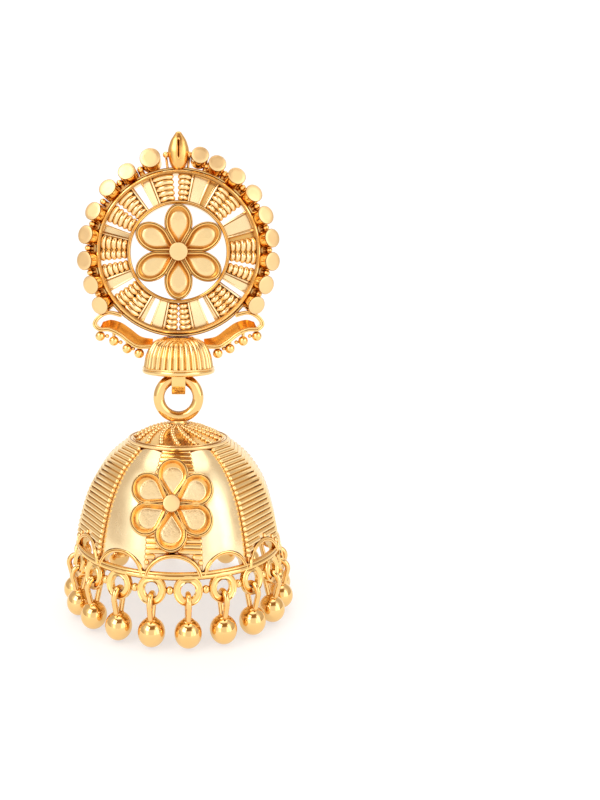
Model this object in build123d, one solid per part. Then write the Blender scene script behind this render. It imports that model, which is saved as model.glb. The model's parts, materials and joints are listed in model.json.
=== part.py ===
from build123d import *
import os
from math import acos, atan2, cos, pi, radians, sin, sqrt, tan

# A jhumka earring in gold-plated metal: an openwork stud that sits on the ear lobe, and a bell-shaped
# drop with a fringe of beads that swings from it.
# Millimetres. The origin is on the ear post's axis, in the plane where the stud meets the lobe.
# +X is to the right of someone who faces the earring, -Y is its front, +Z is up.

# Clearances
SOLDER_GAP = 0.04            # between pieces that are soldered together
LINK_GAP = 0.05              # between a link and what it hangs on
QUARTER_TURN = 90.0
HALF_TURN = 180.0
FULL_TURN = 360.0

# Ear post
POST_RADIUS = 0.45
POST_LENGTH = 10.5
POST_TIP_RADIUS = 0.3
POST_GROOVE_FROM_TIP = 2.2
POST_GROOVE_RADIUS = 0.12
POST_PAD_RADIUS = 1.5
POST_PAD_THICKNESS = 0.5

# Stud: depths are heights above the lobe's plane, towards the front
STUD_BACK = 0.2
OUTER_RING_RADIUS = 10.55
OUTER_LIP_RADIUS = 10.15
OUTER_RING_INNER_RADIUS = 9.7
OUTER_STEP_HEIGHT = 1.7
OUTER_LIP_HEIGHT = 2.5
INNER_RING_RADIUS = 6.35
INNER_RING_INNER_RADIUS = 5.98
INNER_RING_HEIGHT = 2.4
RING_CHAMFER = 0.12

# Fan of wedges between the two rings
FAN_BACK = 0.8
FAN_FRONT = 1.5
RIB_RADIUS = 0.28
RIB_COUNT = 5
RIB_INSET = 0.08
# Each row is one slot right through the fan: its two edges in degrees, clockwise from the top.
FAN_SLOTS = (
    # from_deg, to_deg
    (-158.5, -153.5),
    (-124.5, -120.0),
    (-100.0, -96.0),
    (-69.0, -66.0),
    (-53.5, -50.5),
    (-35.5, -29.0),
    (-4.6, 0.4),
    (53.0, 58.3),
    (99.0, 103.0),
    (121.8, 126.2),
    (152.0, 157.0),
    (178.8, 181.2),
)
# Each row is one wedge that carries ribs, in the same angles. The wedges left over are plain.
RIBBED_WEDGES = (
    # from_deg, to_deg
    (-178.8, -170.0),
    (-148.0, -135.0),
    (-135.0, -124.5),
    (-110.0, -100.0),
    (-96.0, -88.0),
    (-88.0, -77.0),
    (-66.0, -53.5),
    (-50.5, -37.5),
    (-20.0, -4.6),
    (0.4, 10.0),
    (31.5, 42.0),
    (42.0, 53.0),
    (79.5, 90.0),
    (90.0, 99.0),
    (103.0, 113.0),
    (128.0, 137.5),
    (137.5, 147.0),
    (170.0, 178.8),
)

# Flat studs round the outer ring, splayed outwards
FLAT_STUD_LENGTH = 2.0
FLAT_STUD_FACE_HEIGHT = 2.7
# Each row is one flat stud, clockwise from the top; the splay is how far it tips outwards.
FLAT_STUDS = (
    # angle_deg, centre_radius, face_radius, splay_deg
    (-124.5, 11.8, 1.12, 28.0),
    (-110.9, 11.6, 1.15, 32.0),
    (-95.5, 11.7, 1.18, 34.0),
    (-79.6, 11.7, 1.16, 34.0),
    (-64.6, 11.7, 1.16, 32.0),
    (-48.1, 11.8, 1.14, 28.0),
    (-32.9, 11.8, 1.12, 22.0),
    (-16.9, 12.1, 1.28, 15.0),
    (12.7, 12.2, 1.1, 14.0),
    (23.8, 11.9, 1.1, 18.0),
    (37.7, 11.8, 1.14, 24.0),
    (52.3, 11.8, 1.14, 29.0),
    (67.3, 11.7, 1.16, 32.0),
    (81.8, 11.7, 1.16, 34.0),
    (96.0, 11.7, 1.16, 34.0),
    (110.9, 11.6, 1.16, 32.0),
    (124.6, 11.7, 1.14, 28.0),
)
GRANULE_RADIUS = 0.4
GRANULE_CENTRE_RADIUS = 11.3
GRANULE_HEIGHT = 1.6
GRANULE_STEM_RADIUS = 0.2
GRANULE_NECK_RADIUS = 0.28
# Two granules stand beside the crest instead of under it.
CREST_GRANULES = (
    # angle_deg, centre_radius
    (-7.4, 12.2),
    (6.4, 12.2),
)

# Pointed bud at the top of the stud: a ridged leaf form
CREST_DEPTH_CENTRE = 1.5
CREST_SECTIONS = (
    # height, half_width, half_depth
    (10.2, 0.45, 0.6),
    (10.9, 1.0, 0.95),
    (12.2, 1.33, 1.15),
    (12.8, 1.3, 1.08),
    (13.4, 1.14, 0.94),
    (14.0, 0.92, 0.76),
    (14.6, 0.54, 0.5),
    (15.0, 0.26, 0.26),
)

# Flowers: six petals with raised walls round a recessed floor, and a flat hub
PETAL_COUNT = 6
STUD_FLOWER_RADIUS = 5.94
STUD_PETAL_HALF_WIDTH = 1.76
STUD_PETAL_END_LENGTH = 2.3
STUD_PETAL_WALL = 0.42
STUD_FLOWER_BACK = 0.55
STUD_FLOWER_FRONT = 2.75
STUD_FLOWER_FLOOR = 1.9
STUD_HUB_RADIUS = 1.13
STUD_HUB_HEIGHT = 3.05
DOME_FLOWER_RADIUS = 5.02
DOME_PETAL_HALF_WIDTH = 1.82
DOME_PETAL_END_LENGTH = 1.85
DOME_PETAL_WALL = 0.4
DOME_FLOWER_RISE = 0.95
DOME_FLOWER_FLOOR = 0.25
DOME_FLOWER_DEPTH = 3.0
DOME_HUB_RADIUS = 0.93
DOME_HUB_RISE = 1.15

# Wings on both sides of the cap, given for the right one
WING_BACK = 0.35
WING_PLATE_FRONT = 1.1
WING_RIM_FRONT = 2.3
WING_RIM_WIDTH = 0.5
WING_STEM_RADIUS = 0.22
WING_STEM_LENGTH = 1.1
# Middle of the S-shaped rim, from the cap along the lower edge to the outer tip and back to the ring
WING_EDGE = (
    # x, z
    (3.2, -11.75),
    (5.0, -11.75),
    (6.15, -11.15),
    (7.3, -10.25),
    (8.6, -9.65),
    (9.8, -9.6),
    (10.4, -8.95),
    (9.8, -8.05),
    (8.6, -7.55),
    (7.0, -7.9),
)
WING_TIP_ROW = 6
# The upper edge of the wing's recessed plate, from the outer tip to the cap
WING_PLATE_EDGE = (
    # x, z
    (9.6, -8.75),
    (8.5, -8.5),
    (7.2, -8.85),
    (6.0, -9.65),
    (4.7, -10.6),
    (3.2, -10.95),
)
WING_BEAD_RADIUS = 0.62
WING_BEAD_HEIGHT = 1.5
WING_BEADS = (
    # x, z
    (9.75, -10.5),
    (8.05, -11.1),
    (6.4, -12.05),
    (4.9, -12.65),
)

# Fluted cap under the stud, and all that hangs, lie round this axis behind the stud's front
AXIS_Y = -1.3
FLUTE_COUNT = 32
FLUTE_DEPTH = 0.22
CAP_WALL = 0.6
CAP_CROWN_UNDERSIDE = -11.5
CAP_CROWN_INNER_RADIUS = 2.2
CAP_RIM_RADIUS = 4.2
CAP_RIM_Z = -14.75
CAP_RIM_WIRE = 0.34
CAP_MOUTH_RADIUS = 3.98
CAP_SECTIONS = (
    # z, radius
    (-10.62, 1.9),
    (-10.95, 2.75),
    (-11.6, 3.5),
    (-12.9, 4.1),
    (-14.65, 4.4),
)

# Strap and hanging ring: the ring's top wire turns in the strap's bend, which is thicker than its legs
HINGE_Z = -15.75
STRAP_WIDTH = 1.72
STRAP_THICKNESS = 0.4
STRAP_BEND_RADIUS = 1.0
STRAP_BEND_THICKNESS = 1.05
RING_WIRE_RADIUS = 0.71
RING_MEAN_RADIUS = 2.43
SEAT_RADIUS = 1.3
SEAT_THICKNESS = 0.45
SEAT_SINK = 0.06

# Bell: heights are measured up from the rim wire's centre
RIM_Z = -35.58
RIM_RADIUS = 12.25
RIM_WIRE_RADIUS = 0.37
SHELL_TOP = 12.13
SHELL_WALL = 0.9
DOME_TURN = -2.6
# The panels' edges in degrees, from the front one's left edge all the way round
PANEL_EDGES = (-15, 15, 41.25, 72.5, 103.75, 135, 165, 195, 225, 255.5, 286, 316.5, 345)
PANEL_RIB_COUNT = 24
PANEL_RIB_HEIGHT = 0.16
LOBE_RISE = 0.3
LOBE_AXIS_OFFSET = 4.2
LOBE_CORE_INSET = 0.55
FLOWER_PANEL_INSET = 0.3
SMOOTH_PANELS = (1, 5, 7, 11)
FLOWER_PANELS = (0, 6)
BELL_SECTIONS = (
    # height, radius
    (0.42, 12.1),
    (3.03, 11.7),
    (6.83, 10.55),
    (9.93, 8.6),
    (12.13, 6.05),
)
ARCH_CENTRE_DROP = 0.4
ARCH_SHARE = 0.985            # of half its panel's width at the rim
ARCH_HEIGHT = 2.7
ARCH_WIRE = 0.5
ARCH_INNER_RADIUS = 11.2
ARCH_OUTER_RADIUS = 12.35
ARCH_TILT = 7.0
FLOWER_SHARE = 0.505
FLOWER_TURN = -1.4

# Filigree top and collar on the bell
COLLAR_RADIUS = 6.3
COLLAR_INNER_RADIUS = 5.45
COLLAR_THICKNESS = 0.35
CONE_TOP_RADIUS = 1.35
CONE_PLATE = 0.5
FILIGREE_WIRES = 16
FILIGREE_WIRE_RADIUS = 0.26
FILIGREE_SWIRL = 24.0

# Fringe
EYELET_COUNT = 20
EYELET_PHASE = 4.7
EYELET_MEAN_RADIUS = 1.2
EYELET_WIRE_RADIUS = 0.41
EYELET_DROP = 1.45
EYELET_TILT = 9.0
FRINGE_GRANULE_RADIUS = 0.42
LOOP_WIRE_RADIUS = 0.32
LOOP_BEND_RADIUS = 0.86
BEAD_RADIUS = 1.5
BEAD_DROP = 5.95

# The stud is drawn flat, x to the right and y up, and raised towards the front
FRONT = Plane(origin=(0, 0, 0), x_dir=(1, 0, 0), z_dir=(0, -1, 0)).location
BELL_AXIS = Pos(0, AXIS_Y, 0)
# Each panel's middle and its width, in degrees
PANELS = [((low + high) / 2, high - low) for low, high in zip(PANEL_EDGES, PANEL_EDGES[1:])]
RING_CENTRE_Z = HINGE_Z - RING_MEAN_RADIUS
SEAT_BOTTOM = RING_CENTRE_Z - RING_MEAN_RADIUS - RING_WIRE_RADIUS - SEAT_SINK
COLLAR_Z = RIM_Z + SHELL_TOP + SOLDER_GAP
EYELET_REACH = EYELET_DROP + EYELET_MEAN_RADIUS
BEAD_CIRCLE_RADIUS = RIM_RADIUS + EYELET_REACH * sin(radians(EYELET_TILT))
BEAD_Z = RIM_Z - BEAD_DROP


def clock_turn(angle):
    """A turn in the stud's plane, clockwise from the top."""
    return Rot(0, 0, -angle)


def hollow_disc(inner_radius, outer_radius, low, high):
    return Pos(0, 0, low) * extrude(Circle(outer_radius) - Circle(inner_radius), high - low)


def stepped_ring():
    """Outer ring of the stud: a low flange outside and a raised lip inside."""
    section = Polyline(
        (OUTER_RING_INNER_RADIUS, STUD_BACK),
        (OUTER_RING_RADIUS, STUD_BACK),
        (OUTER_RING_RADIUS, OUTER_STEP_HEIGHT - RING_CHAMFER),
        (OUTER_RING_RADIUS - RING_CHAMFER, OUTER_STEP_HEIGHT),
        (OUTER_LIP_RADIUS, OUTER_STEP_HEIGHT),
        (OUTER_LIP_RADIUS, OUTER_LIP_HEIGHT - RING_CHAMFER),
        (OUTER_LIP_RADIUS - RING_CHAMFER, OUTER_LIP_HEIGHT),
        (OUTER_RING_INNER_RADIUS + RING_CHAMFER, OUTER_LIP_HEIGHT),
        (OUTER_RING_INNER_RADIUS, OUTER_LIP_HEIGHT - RING_CHAMFER),
        close=True,
    )
    return revolve(Plane.XZ * make_face(section), Axis.Z)


def wedge(from_deg, to_deg, radius):
    """Flat triangle that covers the angles given, clockwise from the top."""
    corners = [(0, 0)]
    corners += [(radius * sin(radians(a)), radius * cos(radians(a))) for a in (to_deg, from_deg)]
    return Polygon(*corners, align=None)


def fan_plate():
    """Ring-shaped plate between the two rings, with its slots cut through."""
    plate = hollow_disc(
        INNER_RING_RADIUS - SOLDER_GAP, OUTER_RING_INNER_RADIUS + SOLDER_GAP, FAN_BACK, FAN_FRONT
    )
    slots = [Pos(0, 0, FAN_BACK) * extrude(wedge(a, b, OUTER_RING_RADIUS), FAN_FRONT) for a, b in FAN_SLOTS]
    return plate - slots


def rib_bars():
    """Round bars stacked across each ribbed wedge, a little shorter than the wedge is wide."""
    bars = []
    pitch = (OUTER_RING_INNER_RADIUS - INNER_RING_RADIUS) / RIB_COUNT
    for from_deg, to_deg in RIBBED_WEDGES:
        middle = (from_deg + to_deg) / 2
        half = radians(to_deg - from_deg) / 2
        for index in range(RIB_COUNT):
            radius = INNER_RING_RADIUS + pitch * (index + 0.5)
            bar = Cylinder(RIB_RADIUS, 2 * radius * tan(half) - 2 * RIB_INSET)
            bars.append(clock_turn(middle) * Pos(0, radius, FAN_FRONT) * Rot(0, QUARTER_TURN, 0) * bar)
    return bars


def flat_stud(angle, centre_radius, face_radius, splay):
    """Short rod with a flat face, tipped outwards from the stud's front."""
    rod = Pos(0, 0, -FLAT_STUD_LENGTH / 2) * Cylinder(face_radius, FLAT_STUD_LENGTH)
    tipped = Pos(0, centre_radius, FLAT_STUD_FACE_HEIGHT) * Rot(-splay, 0, 0) * rod
    return clock_turn(angle) * tipped


def edge_granule(angle, centre_radius):
    """Small ball on a short stem, between two flat studs or beside the crest."""
    ball = Pos(0, centre_radius, GRANULE_HEIGHT) * Sphere(GRANULE_RADIUS)
    reach = centre_radius - OUTER_LIP_RADIUS
    middle = (GRANULE_HEIGHT + STUD_BACK) / 2
    stem = Rot(QUARTER_TURN, 0, 0) * Cylinder(GRANULE_STEM_RADIUS, reach)
    stem = Pos(0, OUTER_LIP_RADIUS + reach / 2, middle) * stem
    neck = Cylinder(GRANULE_NECK_RADIUS, GRANULE_HEIGHT - STUD_BACK)
    neck = Pos(0, centre_radius, middle) * neck
    return [clock_turn(angle) * piece for piece in (ball, stem, neck)]


def crest():
    """Leaf-shaped bud with a sharp ridge down its front."""
    sections = []
    for height, half_width, half_depth in CREST_SECTIONS:
        level = Plane(origin=(0, height, CREST_DEPTH_CENTRE), x_dir=(1, 0, 0), z_dir=(0, 1, 0))
        corners = [(half_width, 0), (0, half_depth), (-half_width, 0), (0, -half_depth)]
        sections.append(level * Polygon(*corners, align=None))
    return loft(sections, ruled=True)


def stud_frame():
    """Rings, fan, ribs, flat studs, granules and crest: one casting."""
    inner_ring = hollow_disc(
        INNER_RING_INNER_RADIUS, INNER_RING_RADIUS, STUD_BACK, INNER_RING_HEIGHT
    )
    extras = [inner_ring, fan_plate(), crest()]
    extras += rib_bars()
    extras += [flat_stud(*row) for row in FLAT_STUDS]
    angles = [row[0] for row in FLAT_STUDS]
    middles = [(left + right) / 2 for left, right in zip(angles, angles[1:]) if left * right > 0]
    for row in [(angle, GRANULE_CENTRE_RADIUS) for angle in middles] + list(CREST_GRANULES):
        extras += edge_granule(*row)
    solid = stepped_ring() + extras
    bore = Cylinder(INNER_RING_INNER_RADIUS, 2 * OUTER_RING_RADIUS)
    return FRONT * (solid - bore)


def petal_spread(length, half_width, end_length):
    """Half the angle that a petal takes up at the hub."""
    centre = length - end_length
    side = half_width * sqrt(1 - (end_length / centre) ** 2)
    return atan2(side, centre - end_length ** 2 / centre)


def teardrop(length, half_width, end_length):
    """Petal outline: pointed at the hub, an oval at the far end."""
    centre = length - end_length
    height = centre - end_length ** 2 / centre
    side = height * tan(petal_spread(length, half_width, end_length))
    corners = [(0, 0), (side, height), (-side, height)]
    return Polygon(*corners, align=None) + Pos(0, centre) * Ellipse(half_width, end_length)


def flower(length, half_width, end_length, wall, back, floor, front, hub_radius, hub_front):
    """Six petals with raised walls round a recessed floor, and a flat hub over their roots."""
    turns = [clock_turn(FULL_TURN / PETAL_COUNT * index) for index in range(PETAL_COUNT)]
    petals = [turn * extrude(teardrop(length, half_width, end_length), front - back) for turn in turns]
    body = Pos(0, 0, back) * (petals[0] + petals[1:])
    inset = wall / sin(petal_spread(length, half_width, end_length))
    area = teardrop(length - wall - inset, half_width - wall, end_length - wall)
    hollow = extrude(area, front - floor)
    hollows = [Pos(0, 0, floor) * turn * Pos(0, inset) * hollow for turn in turns]
    hub = Pos(0, 0, (back + hub_front) / 2) * Cylinder(hub_radius, hub_front - back)
    return (body - hollows) + hub


def stud_flower():
    return FRONT * flower(
        STUD_FLOWER_RADIUS,
        STUD_PETAL_HALF_WIDTH,
        STUD_PETAL_END_LENGTH,
        STUD_PETAL_WALL,
        STUD_FLOWER_BACK,
        STUD_FLOWER_FLOOR,
        STUD_FLOWER_FRONT,
        STUD_HUB_RADIUS,
        STUD_HUB_HEIGHT,
    )


def ear_post():
    """Pad on the flower's back and a plain shaft with a groove for the nut."""
    pad_front = -(STUD_FLOWER_BACK - SOLDER_GAP)
    section = Polyline(
        (0, pad_front),
        (POST_PAD_RADIUS, pad_front),
        (POST_PAD_RADIUS, pad_front + POST_PAD_THICKNESS),
        (POST_RADIUS, pad_front + POST_PAD_THICKNESS),
        (POST_RADIUS, POST_LENGTH - POST_TIP_RADIUS),
        (POST_RADIUS - POST_TIP_RADIUS, POST_LENGTH),
        (0, POST_LENGTH),
        close=True,
    )
    shaft = revolve(make_face(section), Axis.Y)
    groove = Pos(0, POST_LENGTH - POST_GROOVE_FROM_TIP, 0) * Rot(QUARTER_TURN, 0, 0)
    return shaft - groove * Torus(POST_RADIUS, POST_GROOVE_RADIUS)


def cap_clearance():
    """The cap's outer form with a small gap round it."""
    sections = [Pos(0, 0, z) * Circle(radius + LINK_GAP) for z, radius in CAP_SECTIONS]
    return BELL_AXIS * loft(sections, ruled=True)


def wing():
    """Right-hand wing: a raised S-shaped rim, a recessed plate inside it and a row of beads below."""
    edge = Spline(*WING_EDGE)
    rim_depth = WING_RIM_FRONT - WING_BACK
    start = Plane(origin=edge @ 0, x_dir=(0, 0, 1), z_dir=edge % 0)
    rim = sweep(start * Rectangle(rim_depth, WING_RIM_WIDTH), path=edge)
    rim = Pos(0, 0, WING_BACK + rim_depth / 2) * rim
    lower = Spline(*WING_EDGE[:WING_TIP_ROW + 1])
    upper = Spline(*WING_PLATE_EDGE)
    outline = Wire([lower, Line(lower @ 1, upper @ 0), upper, Line(upper @ 1, lower @ 0)])
    plate = Pos(0, 0, WING_BACK) * extrude(make_face(outline), WING_PLATE_FRONT - WING_BACK)
    beads = []
    for x, y in WING_BEADS:
        beads.append(Pos(x, y, WING_BEAD_HEIGHT) * Sphere(WING_BEAD_RADIUS))
        stem = Rot(QUARTER_TURN, 0, 0) * Cylinder(WING_STEM_RADIUS, WING_STEM_LENGTH)
        beads.append(Pos(x, y + WING_STEM_LENGTH / 2, WING_BEAD_HEIGHT) * stem)
    clearances = [Cylinder(OUTER_RING_RADIUS + LINK_GAP, 2 * OUTER_RING_RADIUS)]
    for angle, centre_radius, face_radius, splay in (FLAT_STUDS[0], FLAT_STUDS[-1]):
        clearances.append(flat_stud(abs(angle), centre_radius, face_radius + 2 * LINK_GAP, splay))
    return FRONT * ((rim + [plate, *beads]) - clearances) - cap_clearance()


def cap_section(z, radius):
    """Horizontal section of the fluted cap: ridges and valleys in turn."""
    corners = []
    for index in range(2 * FLUTE_COUNT):
        reach = radius - FLUTE_DEPTH * (index % 2)
        angle = pi * index / FLUTE_COUNT
        corners.append((reach * cos(angle), reach * sin(angle)))
    return Pos(0, 0, z) * Polygon(*corners, align=None)


def ribbed_cap():
    """Hollow fluted bell with a round bead at its rim."""
    body = loft([cap_section(z, radius) for z, radius in CAP_SECTIONS], ruled=True)
    rim = Pos(0, 0, CAP_RIM_Z) * Torus(CAP_RIM_RADIUS, CAP_RIM_WIRE)
    hollow_points = [(0, CAP_CROWN_UNDERSIDE), (CAP_CROWN_INNER_RADIUS, CAP_CROWN_UNDERSIDE)]
    hollow_points += [(r - CAP_WALL - FLUTE_DEPTH, z) for z, r in CAP_SECTIONS if z < CAP_CROWN_UNDERSIDE]
    below = CAP_RIM_Z - 2 * CAP_RIM_WIRE
    hollow_points += [(CAP_MOUTH_RADIUS, CAP_RIM_Z), (CAP_MOUTH_RADIUS, below), (0, below)]
    hollow = revolve(Plane.XZ * make_face(Polyline(*hollow_points, close=True)), Axis.Z)
    return BELL_AXIS * ((body + rim) - hollow)


def bail_strap():
    """Strip bent into a U, thickest under the ring's wire, with both ends up inside the cap."""
    outer = STRAP_BEND_RADIUS + STRAP_THICKNESS
    rise = CAP_CROWN_UNDERSIDE - SOLDER_GAP - HINGE_Z
    bend = Ellipse(outer, STRAP_BEND_RADIUS + STRAP_BEND_THICKNESS)
    loop = bend + Pos(0, rise / 2) * Rectangle(2 * outer, rise)
    slot = Circle(STRAP_BEND_RADIUS) + Pos(0, rise / 2) * Rectangle(2 * STRAP_BEND_RADIUS, rise)
    profile = loop - slot
    across = Plane(origin=(STRAP_WIDTH / 2, AXIS_Y, HINGE_Z), x_dir=(0, 1, 0), z_dir=(1, 0, 0)).location
    return across * extrude(profile, -STRAP_WIDTH)


def hanging_ring():
    """Round ring, soldered to a small round seat on top of the bell."""
    ring = Pos(0, 0, RING_CENTRE_Z) * Rot(QUARTER_TURN, 0, 0) * Torus(RING_MEAN_RADIUS, RING_WIRE_RADIUS)
    seat = Pos(0, 0, SEAT_BOTTOM + SEAT_THICKNESS / 2) * Cylinder(SEAT_RADIUS, SEAT_THICKNESS)
    return BELL_AXIS * (ring + seat)


def filigree_top():
    """Flat collar and a low cone that carries a swirl of wires."""
    cone_top = SEAT_BOTTOM - SOLDER_GAP
    section = Polyline(
        (0, cone_top),
        (CONE_TOP_RADIUS, cone_top),
        (COLLAR_INNER_RADIUS, COLLAR_Z + COLLAR_THICKNESS),
        (COLLAR_RADIUS, COLLAR_Z + COLLAR_THICKNESS),
        (COLLAR_RADIUS, COLLAR_Z),
        (COLLAR_INNER_RADIUS - CONE_PLATE, COLLAR_Z),
        (CONE_TOP_RADIUS, cone_top - CONE_PLATE),
        (0, cone_top - CONE_PLATE),
        close=True,
    )
    cone = revolve(Plane.XZ * make_face(section), Axis.Z)
    start = Vector(CONE_TOP_RADIUS, 0, cone_top - FILIGREE_WIRE_RADIUS)
    end = Vector(COLLAR_INNER_RADIUS, 0, COLLAR_Z + COLLAR_THICKNESS)
    end = end.rotate(Axis.Z, FILIGREE_SWIRL)
    wire = Plane(origin=start, z_dir=end - start).location
    wire = wire * Pos(0, 0, (end - start).length / 2) * Cylinder(FILIGREE_WIRE_RADIUS, (end - start).length)
    wires = [Rot(0, 0, FULL_TURN / FILIGREE_WIRES * index) * wire for index in range(FILIGREE_WIRES)]
    return BELL_AXIS * (cone + wires)


def bell_curve(inset):
    """Profile of the bell from its foot to its top, moved inwards by inset: x is the radius."""
    return Spline(*[(radius - inset, height) for height, radius in BELL_SECTIONS])


def ribbed_edges(inset):
    """The same profile as a stack of small round ribs."""
    curve = bell_curve(inset)
    edges = []
    for index in range(PANEL_RIB_COUNT):
        low = curve @ (index / PANEL_RIB_COUNT)
        high = curve @ ((index + 1) / PANEL_RIB_COUNT)
        along = (high - low).normalized()
        crown = (low + high) / 2 + Vector(along.Y, -along.X) * PANEL_RIB_HEIGHT
        edges.append(ThreePointArc(low, crown, high))
    return edges


def profile_face(edges):
    """Area between the bell's axis and the profile."""
    foot = edges[0] @ 0
    top = edges[-1] @ 1
    closing = [Line(top, (0, top.Y)), Line((0, top.Y), (0, foot.Y)), Line((0, foot.Y), foot)]
    return Plane.XZ * make_face(Wire([*edges, *closing]))


def panel_wedge(spread):
    """Block that keeps one panel's share of the bell."""
    reach = 2 * RIM_RADIUS
    half = reach * tan(radians(spread) / 2)
    return extrude(Polygon((0, 0), (reach, -half), (reach, half), align=None), SHELL_TOP)


def flat_panel(edges, spread):
    """Panel whose horizontal lines are straight."""
    half = RIM_RADIUS / 2
    return extrude(profile_face(edges), half, both=True) & panel_wedge(spread)


def lobe_panel(spread):
    """Panel that swells out between its borders."""
    curve = bell_curve(LOBE_AXIS_OFFSET - LOBE_RISE)
    lobe = revolve(profile_face([curve]), Axis.Z)
    core = flat_panel([bell_curve(LOBE_CORE_INSET)], spread)
    return core + (Pos(LOBE_AXIS_OFFSET, 0, 0) * lobe & panel_wedge(spread))


def bell_solid():
    """The bell's outer form, not yet hollow, in its own frame above the rim's centre."""
    panels = []
    for index, (middle, spread) in enumerate(PANELS):
        if index in SMOOTH_PANELS:
            piece = lobe_panel(spread)
        else:
            piece = flat_panel(ribbed_edges(FLOWER_PANEL_INSET * (index in FLOWER_PANELS)), spread)
        panels.append(Rot(0, 0, middle) * piece)
    return panels[0] + panels[1:]


def arch_area(spread, grow):
    """Outline of one arch above the rim, drawn with x across the panel and y up."""
    half_width = ARCH_SHARE * ARCH_OUTER_RADIUS * tan(radians(spread) / 2)
    oval = Pos(0, -ARCH_CENTRE_DROP) * Ellipse(half_width + grow, ARCH_HEIGHT + grow)
    upper = Pos(0, ARCH_HEIGHT) * Rectangle(4 * half_width, 2 * ARCH_HEIGHT)
    return oval & upper


def radial_block(area, inner_radius, outer_radius):
    """Raise an area drawn across the panel into a block along +X that leans in with the bell's slope."""
    outwards = Plane(origin=(inner_radius - RIM_RADIUS, 0, 0), x_dir=(0, 1, 0), z_dir=(1, 0, 0)).location
    block = outwards * extrude(area, outer_radius - inner_radius)
    return Pos(RIM_RADIUS, 0, 0) * Rot(0, -ARCH_TILT, 0) * block


def place_bell(shape):
    """Move a shape from the bell's own frame, +X at its front, to the earring's frame."""
    return Pos(0, AXIS_Y, RIM_Z) * Rot(0, 0, DOME_TURN - QUARTER_TURN) * shape


def dome_shell(outer):
    """Hollow bell with an arch cut out of the foot of each panel."""
    cavity = bell_curve(SHELL_WALL)
    hollow = revolve(profile_face([cavity]), Axis.Z)
    openings = []
    for middle, spread in PANELS:
        opening = radial_block(arch_area(spread, SOLDER_GAP), RIM_RADIUS / 2, RIM_RADIUS * 2)
        openings.append(Rot(0, 0, middle) * opening)
    return place_bell(outer - [hollow, *openings])


def flower_seat():
    """Frame on the front panel, its z pointing straight out of the bell's slope."""
    curve = bell_curve(FLOWER_PANEL_INSET)
    spot = curve @ FLOWER_SHARE
    slope = curve % FLOWER_SHARE
    return Plane(origin=(spot.X, 0, spot.Y), x_dir=(0, 1, 0), z_dir=(slope.Y, 0, -slope.X))


def dome_flower(outer, turn):
    """Flower on the bell, cut to sit on its surface."""
    seat = flower_seat()
    raw = seat.location * flower(
        DOME_FLOWER_RADIUS,
        DOME_PETAL_HALF_WIDTH,
        DOME_PETAL_END_LENGTH,
        DOME_PETAL_WALL,
        -DOME_FLOWER_DEPTH,
        DOME_FLOWER_FLOOR,
        DOME_FLOWER_RISE,
        DOME_HUB_RADIUS,
        DOME_HUB_RISE,
    )
    outwards = seat.z_dir.rotate(Axis.Z, turn)
    return place_bell(Rot(0, 0, turn) * raw - Pos(outwards * SOLDER_GAP) * outer)


def rim_band():
    """Rim wire with the arches above it and the eyelets and granules below it."""
    ring = Pos(0, AXIS_Y, RIM_Z) * Torus(RIM_RADIUS, RIM_WIRE_RADIUS)
    pieces = []
    for middle, spread in PANELS:
        outline = arch_area(spread, 0) - arch_area(spread, -ARCH_WIRE)
        arch = radial_block(outline, ARCH_INNER_RADIUS, ARCH_OUTER_RADIUS)
        pieces.append(place_bell(Rot(0, 0, middle) * arch))
    below = Pos(0, -RIM_RADIUS, RIM_Z) * Rot(-EYELET_TILT, 0, 0) * Pos(0, 0, -EYELET_DROP)
    upright = Rot(QUARTER_TURN, 0, 0) * Rot(0, 0, -QUARTER_TURN)
    eyelet = below * upright * Torus(EYELET_MEAN_RADIUS, EYELET_WIRE_RADIUS)
    granule = below * Rot(0, 0, QUARTER_TURN) * Sphere(FRINGE_GRANULE_RADIUS)
    for index in range(EYELET_COUNT):
        pieces.append(fringe_turn(index) * eyelet)
        pieces.append(fringe_turn(index + 0.5) * granule)
    return ring + pieces


def fringe_turn(index):
    """Turn round the bell's axis to a place in the fringe."""
    return BELL_AXIS * Rot(0, 0, EYELET_PHASE + FULL_TURN / EYELET_COUNT * index)


def bead_drop(index):
    """Ball on a closed wire loop that passes through its eyelet."""
    eyelet_bottom = RIM_Z - EYELET_REACH * cos(radians(EYELET_TILT)) + EYELET_WIRE_RADIUS
    bend_z = eyelet_bottom + LINK_GAP + LOOP_WIRE_RADIUS - LOOP_BEND_RADIUS
    touch = acos(LOOP_BEND_RADIUS / (bend_z - BEAD_Z))
    side = LOOP_BEND_RADIUS * sin(touch)
    height = bend_z - LOOP_BEND_RADIUS * cos(touch)
    bend = Plane.YZ * ThreePointArc((side, height), (0, bend_z + LOOP_BEND_RADIUS), (-side, height))
    loop = sweep(Plane(origin=bend @ 0, z_dir=bend % 0) * Circle(LOOP_WIRE_RADIUS), path=bend)
    ball_centre = Vector(0, 0, BEAD_Z)
    legs = []
    for end in (bend @ 0, bend @ 1):
        length = (end - ball_centre).length
        along = Plane(origin=ball_centre, z_dir=end - ball_centre).location
        legs.append(along * Pos(0, 0, length / 2) * Cylinder(LOOP_WIRE_RADIUS, length))
    ball = Pos(0, 0, BEAD_Z) * Sphere(BEAD_RADIUS)
    return fringe_turn(index) * Pos(0, -BEAD_CIRCLE_RADIUS, 0) * (loop + [*legs, ball])


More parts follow.
